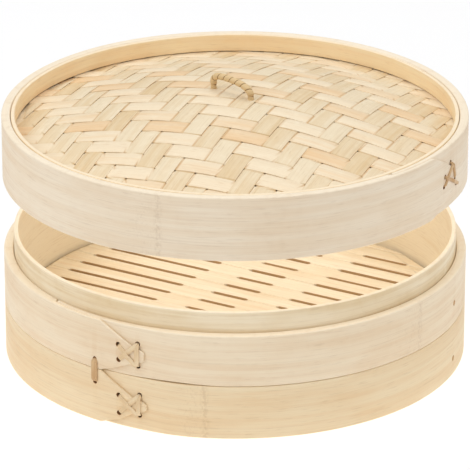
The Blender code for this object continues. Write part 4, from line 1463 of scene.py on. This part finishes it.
@dataclass
class LoopHandle:
    """Low arch of cane, wound with cane, tied under the mats."""

    frame: LidFrame
    span: float = 27.2 * MM
    height: float = 5.5 * MM
    core: float = 1.4 * MM
    wrap: float = 0.5 * MM
    turns: float = 8.0
    stand: float = 2.0 * MM

    def _line(self) -> tuple[Vector, Vector]:
        """The arch's centre at its feet, and the unit vector from foot to foot."""
        direction = polar(1.0, self.frame.handle_bearing)
        mat_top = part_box("lid_woven_top")[0].z + MAT_TOP + self.frame.rise(math.hypot(*self.frame.centre))
        return Vector((*self.frame.centre, mat_top + self.stand)), direction

    def arch(self, trees: StripTrees, effects: Effects) -> bpy.types.Mesh:
        """Wind the arch.

        Args:
            trees: the geometry trees.
            effects: the shared shader groups.

        Returns:
            The wound arch.
        """
        centre, direction = self._line()
        points = [centre + direction * place * self.span + Vector((0, 0, rise * self.height))
                  for place, rise in ARCH]
        curve, length = path_curve("handle_path", points)
        side = direction.cross(Vector((0, 0, 1)))
        return grow("handle_wound", trees.wound, {
            "Side": side, "Core": self.core, "Wrap": self.wrap, "Turns": self.turns, "Length": length / 2,
            "Along": 320, "Material": WOUND.material(effects)}, curve)

    def knot(self, trees: StripTrees, effects: Effects) -> bpy.types.Mesh:
        """Tie the arch's ends together under the splint.

        Args:
            trees: the geometry trees.
            effects: the shared shader groups.

        Returns:
            The tie.
        """
        centre, direction = self._line()
        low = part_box("handle_tie")[0]
        feet = [(centre + direction * sense * self.span / 2, -direction * sense) for sense in (-1.0, 1.0)]
        inward = self.span * 0.14
        bottom = low.z + 1.5 * MM
        points = []
        for foot, towards in feet:
            down = [(centre.z + 0.9 * MM, 0.0), (bottom + 2.8 * MM, 0.0), (bottom + 0.9 * MM, 0.35),
                    (bottom, 1.0)]
            side = [Vector((foot.x, foot.y, height)) + towards * share * inward for height, share in down]
            points += side if towards.dot(direction) > 0 else side[::-1]
        curve, length = path_curve("tie_path", points)
        side = direction.cross(Vector((0, 0, 1)))
        return grow("handle_knot", trees.wound, {
            "Side": side, "Core": 1.3 * MM, "Wrap": 0.4 * MM, "Turns": 9.0, "Length": length / 2,
            "Along": 260, "Material": WOUND.material(effects)}, curve)


# ------------------------------------------------------------------ the whole steamer
TONGUE_LOW = ((-12.1, 0.0), (-7.7, 0.121), (-3.9, 0.242), (-1.9, 0.287), (-0.9, 0.315), (0.0, 0.363))
TONGUE_HIGH = ((-12.1, 1.0), (-7.7, 0.81), (-3.9, 0.647), (-1.9, 0.578), (-0.9, 0.557), (0.0, 0.516))
LOWER_LOW = ((-12.7, 0.0), (-7.0, 0.151), (-3.8, 0.295), (-1.8, 0.341), (-0.7, 0.371), (0.0, 0.410))
LOWER_HIGH = ((-12.7, 1.0), (-10.5, 0.897), (-7.0, 0.750), (-3.8, 0.613), (-1.8, 0.570), (-0.7, 0.546),
              (0.0, 0.503))
LID_LOW = ((-13.5, 0.0), (-8.0, 0.145), (-4.0, 0.268), (-2.0, 0.319), (-0.9, 0.348), (0.0, 0.393))
LID_HIGH = ((-13.5, 1.0), (-8.0, 0.819), (-4.0, 0.667), (-2.0, 0.605), (-0.9, 0.581), (0.0, 0.539))


UPPER_HOLES = {"tl": Hole(-6.8, 0.600), "bl": Hole(-6.7, 0.300),
               "tr": Hole(-1.8, 0.664), "br": Hole(-1.8, 0.222)}
LOWER_HOLES = {"tl": Hole(-7.4, 0.608), "bl": Hole(-7.3, 0.268),
               "tr": Hole(-2.0, 0.666), "br": Hole(-2.1, 0.278)}
LID_HOLES = {"top": Hole(-3.3, 0.707), "ml": Hole(-7.8, 0.574), "bl": Hole(-8.3, 0.425),
             "mr": Hole(-1.7, 0.425), "lr": Hole(0.9, 0.276)}


@dataclass
class Basket:
    """The tier: bands, hoop, lacing, pegs and floor."""

    peg_bearing: float = -20.5
    peg_radius: float = 1.5 * MM
    staple_bearings: Flat = (-125.9, 54.1)
    staple_bore: float = 1.3 * MM

    def _bores(self, staple: float, peg: float) -> tuple[Bore, ...]:
        """Holes of a band for the two staples and the peg, at their heights."""
        staples = [(bearing, staple, self.staple_bore) for bearing in self.staple_bearings]
        return (*staples, (self.peg_bearing, peg, self.peg_radius + 0.05 * MM))

    def _lacing(self, trees: StripTrees, effects: Effects, upper: LappedBand, lower: LappedBand,
                staple: Flat) -> list[Piece]:
        """Sew down the laps, and staple the two bands together.

        Args:
            trees: the geometry trees.
            effects: the shared shader groups.
            upper: the upper band.
            lower: the lower band.
            staple: heights of the staples' two holes.

        Returns:
            The four pieces.
        """
        sewn = []
        for band, name, node in ((upper, "lace_upper", "upper_band_lacing"),
                                 (lower, "lace_lower", "lower_band_lacing")):
            spots = {key: band.spot(key) for key in band.holes}
            front = ((spots["bl"], spots["tr"], 0.0), (spots["tl"], spots["br"], 0.75 * MM),
                     (spots["tr"], spots["br"], 0.0))
            back = ((spots["bl"], spots["tl"]), (spots["br"], spots["tr"]))
            sewn.append((CaneLacing(name, LACE, band.outer, band.inner, front, back), node))
        for name, node, bearing in zip(("staple_front", "staple_back"),
                                       ("seam_lacing_front", "seam_lacing_back"), self.staple_bearings):
            ends = ((bearing, staple[0]), (bearing, staple[1]))
            sewn.append((CaneLacing(name, LID_LACE, upper.outer, upper.inner, ((*ends, 0.0),), (ends,),
                                    width=3.6 * MM, thickness=1.1 * MM), node))
        return [Piece(lace.name, lace.mesh(trees, effects), "basket", "cane_lacing", (node,))
                for lace, node in sewn]

    def pieces(self, trees: StripTrees, effects: Effects) -> list[Piece]:
        """Build every piece of the tier.

        Args:
            trees: the geometry trees.
            effects: the shared shader groups.

        Returns:
            The pieces, each with its node.
        """
        upper_low, upper_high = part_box("upper_outer_band")
        lower_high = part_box("lower_outer_band")[1]
        staple = (lower_high.z - 7.6 * MM, upper_low.z + 5.4 * MM)
        upper_peg = upper_low.z + 0.42 * (upper_high.z - upper_low.z)
        lower_peg = 0.327 * lower_high.z
        upper = LappedBand("band_upper", "upper_outer_band", Lap(-112.3, TONGUE_LOW, TONGUE_HIGH),
                           UPPER_HOLES, BAND, bottom_drop=0.12 * MM, gape=0.75 * MM,
                           extra_holes=self._bores(staple[1], upper_peg))
        lower = LappedBand("band_lower", "lower_outer_band", Lap(-111.7, LOWER_LOW, LOWER_HIGH),
                           LOWER_HOLES, LOWER_BAND, top_drop=0.02 * MM, sway=0.05 * MM,
                           extra_holes=self._bores(staple[0], lower_peg))
        hoop = Hoop("collar_hoop", "inner_hoop", HOOP_WALL, HOOP,
                    bores=self._bores(staple[1], upper_peg)[-1:])
        made = [Piece(band.name, band.mesh(effects), "basket", "bamboo_band", (band.node,))
                for band in (upper, lower)]
        made.append(Piece(hoop.name, hoop.mesh(effects), "basket", "bamboo_hoop", (hoop.node,)))
        made += self._lacing(trees, effects, upper, lower, staple)
        finish = PEG.material(effects)
        hoop_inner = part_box("inner_hoop")[1].x - HOOP_WALL
        for name, node, height, inner in (("peg_upper", "upper_band_peg", upper_peg, hoop_inner),
                                          ("peg_lower", "lower_band_peg", lower_peg, lower.inner)):
            mesh = peg_mesh(name, self.peg_bearing, height, self.peg_radius, inner + 0.1 * MM,
                            upper.outer + 0.15 * MM, finish)
            made.append(Piece(name, mesh, "basket", "bamboo_peg", (node,)))
        return made + SlattedFloor().pieces(trees, effects)


@dataclass
class Lid:
    """The lid: band, lacing, rings, mats, splints and handle."""

    def pieces(self, trees: StripTrees, effects: Effects) -> list[Piece]:
        """Build every piece of the lid.

        Args:
            trees: the geometry trees.
            effects: the shared shader groups.

        Returns:
            The pieces, each with its nodes.
        """
        band = LappedBand("lid_band", "lid_outer_band", Lap(-20.4, LID_LOW, LID_HIGH), LID_HOLES, LID_BAND,
                          wall=4.8 * MM, hole_radius=1.3 * MM)
        spots = {key: band.spot(key) for key in band.holes}
        front = ((spots["bl"], spots["top"], 0.0), (spots["top"], spots["mr"], 0.0),
                 (spots["ml"], spots["lr"], 0.7 * MM))
        back = ((spots["bl"], spots["ml"]), (spots["lr"], spots["mr"]))
        lace = CaneLacing("lace_lid", LID_LACE, band.outer, band.inner, front, back, width=1.9 * MM)
        skeleton = LidFrame()
        handle = LoopHandle(skeleton)
        made = [Piece(band.name, band.mesh(effects), "lid", "bamboo_band", (band.node,)),
                Piece(lace.name, lace.mesh(trees, effects), "lid", "cane_lacing", ("lid_band_lacing",))]
        for name, node in (("lid_rim_ring", "lid_upper_ring"), ("lid_seat_ring", "lid_lower_ring")):
            ring = Hoop(name, node, 2.2 * MM, LID_RING)
            made.append(Piece(name, ring.mesh(effects), "lid", "bamboo_hoop", (node,)))
        for mat in (DomedMat("lid_twill_top", "lid_woven_top"),
                    DomedMat("lid_twill_lining", "lid_woven_lining", directions=(25.0, -68.0), along=110)):
            made.append(Piece(mat.name, mat.mesh(trees, effects), "lid", "bamboo_weave", (mat.node,)))
        ribs = ("lid_rib_centre", "lid_rib_cross_front", "lid_rib_cross_back")
        made.append(Piece("lid_splints", skeleton.splints(trees, effects), "lid", "bamboo_slat", ribs))
        knot, arch = handle.knot(trees, effects), handle.arch(trees, effects)
        made.append(Piece("handle_knot", knot, "lid", "cane_lacing", ("handle_tie",)))
        made.append(Piece("handle_wound", arch, "handle", "cane_handle", ("handle_loop",)))
        return made


# ------------------------------------------------------------------ studio
# Each lamp's name, place, width, watts and colour.
LAMPS = (("key_left", (-2.2, -1.1, 2.4), 2.2, 46.0, (0.98, 0.99, 1.02)),
         ("fill_right", (2.2, -1.2, 1.6), 2.4, 22.0, (0.97, 0.99, 1.04)),
         ("top_soft", (0.2, 0.9, 2.6), 2.4, 28.0, (1.0, 0.99, 0.97)))


@dataclass
class Studio:
    """Pale floor, soft light and the camera."""

    eye: tuple[float, float, float] = (0.0, -2.2232, 0.9941)
    aim: tuple[float, float, float] = (0.0, 0.0, 0.064)
    lens: float = 335.5
    floor_half: float = 6.0
    floor_drop: float = 0.4 * MM
    sky: float = 0.42
    # radii over which the floor's painted shade under the tier fades to pale
    painted_shade_radii: Flat = (0.112, 0.121)

    def floor(self) -> bpy.types.Object:
        """Lay a plain pale floor.

        Returns:
            The floor, with painted shade where the tier shuts the light out, and clear from beneath.
        """
        material = bpy.data.materials.new("studio_floor")
        material.use_nodes = True
        bench = Bench(material.node_tree)
        shader = material.node_tree.nodes["Principled BSDF"]
        point = bench.take(bench.add("ShaderNodeTexCoord"), "Object")
        grit = bench.noise(point, 400.0, 2.0)
        bench.feed(shader.inputs["Roughness"], grit.ramp(0.3, 0.7, 0.8, 0.95))
        x, y, _ = bench.split(point)
        # painted shade: the floor's colour drops to dark grey under the tier
        pale = (x * x + y * y).root().ramp(*self.painted_shade_radii, 0.3, 0.97)
        bench.feed(shader.inputs["Base Color"], bench.combine(pale, pale, pale))
        shader.inputs["Specular IOR Level"].default_value = 0.0
        clear = bench.add("ShaderNodeBsdfTransparent")
        beneath = bench.take(bench.add("ShaderNodeNewGeometry"), "Backfacing")
        feeds = {0: beneath, 1: shader.outputs["BSDF"], 2: clear.outputs["BSDF"]}
        sides = bench.add("ShaderNodeMixShader", feeds)
        bench.feed(material.node_tree.nodes["Material Output"].inputs["Surface"], sides.outputs["Shader"])
        corners = [(x * self.floor_half, y * self.floor_half, -self.floor_drop)
                   for x, y in ((-1, -1), (1, -1), (1, 1), (-1, 1))]
        mesh = bpy.data.meshes.new("studio_floor")
        mesh.from_pydata(corners, [], [(0, 1, 2, 3)])
        mesh.materials.append(material)
        ground = bpy.data.objects.new("studio_floor", mesh)
        bpy.context.scene.collection.objects.link(ground)
        return ground

    def lamp(self, name: str, place: tuple[float, float, float], width: float, watts: float,
             colour: tuple[float, float, float], lit: Sequence[bpy.types.Object],
             unshaded_by: Sequence[bpy.types.Object] = ()) -> None:
        """Hang one large soft lamp aimed at the steamer.

        Args:
            name: what the lamp is called.
            place: where it hangs.
            width: side of its square face.
            watts: its power.
            colour: its colour.
            lit: the objects that it lights.
            unshaded_by: objects that cast no shadow from it.
        """
        light = bpy.data.lights.new(name, "AREA")
        light.size, light.energy, light.color = width, watts, colour
        thing = bpy.data.objects.new(name, light)
        thing.location = place
        thing.rotation_euler = (Vector(self.aim) - Vector(place)).to_track_quat("-Z", "Y").to_euler()
        bpy.context.scene.collection.objects.link(thing)
        receivers = bpy.data.collections.new(name + "_lights")
        for target in lit:
            receivers.objects.link(target)
        thing.light_linking.receiver_collection = receivers
        if unshaded_by:
            blockers = bpy.data.collections.new(name + "_passes")
            for target in unshaded_by:
                blockers.objects.link(target)
            for member in blockers.collection_objects:
                member.light_linking.link_state = "EXCLUDE"
            thing.light_linking.blocker_collection = blockers

    def build(self, tier: Sequence[bpy.types.Object], cover: Sequence[bpy.types.Object]) -> None:
        """Set the floor, the lamps, the sky and the camera.

        Args:
            tier: the pieces of the basket.
            cover: the pieces of the lid and its handle, which let the basket's lamps through.
        """
        scene = bpy.context.scene
        ground = self.floor()
        for name, place, width, watts, colour in LAMPS:
            self.lamp(name + "_tier", place, width, watts, colour, tier, cover)
            self.lamp(name + "_lid", place, width, watts, colour, cover)
            self.lamp(name + "_floor", place, width, watts, colour, [ground], [*tier, *cover])
        world = bpy.data.worlds.new("studio_sky")
        world.use_nodes = True
        world.node_tree.nodes["Background"].inputs["Color"].default_value = (1.0, 1.0, 1.0, 1.0)
        world.node_tree.nodes["Background"].inputs["Strength"].default_value = self.sky
        scene.world = world
        lens = bpy.data.cameras.new("studio_camera")
        lens.lens, lens.sensor_width = self.lens, 36.0
        lens.clip_start, lens.clip_end = 0.05, 50.0
        camera = bpy.data.objects.new("studio_camera", lens)
        camera.location = self.eye
        camera.rotation_euler = (Vector(self.aim) - Vector(self.eye)).to_track_quat("-Z", "Y").to_euler()
        scene.collection.objects.link(camera)
        scene.camera = camera
        scene.view_settings.view_transform = "Standard"
        scene.view_settings.look = "None"


def main() -> None:
    """Build the steamer and the studio."""
    logging.basicConfig(level=logging.INFO, format="%(message)s")
    effects, trees = Effects(), StripTrees()
    tier = [piece.hand_over() for piece in Basket().pieces(trees, effects)]
    cover = [piece.hand_over() for piece in Lid().pieces(trees, effects)]
    Studio().build(tier, cover)


if __name__ == "__main__":
    main()
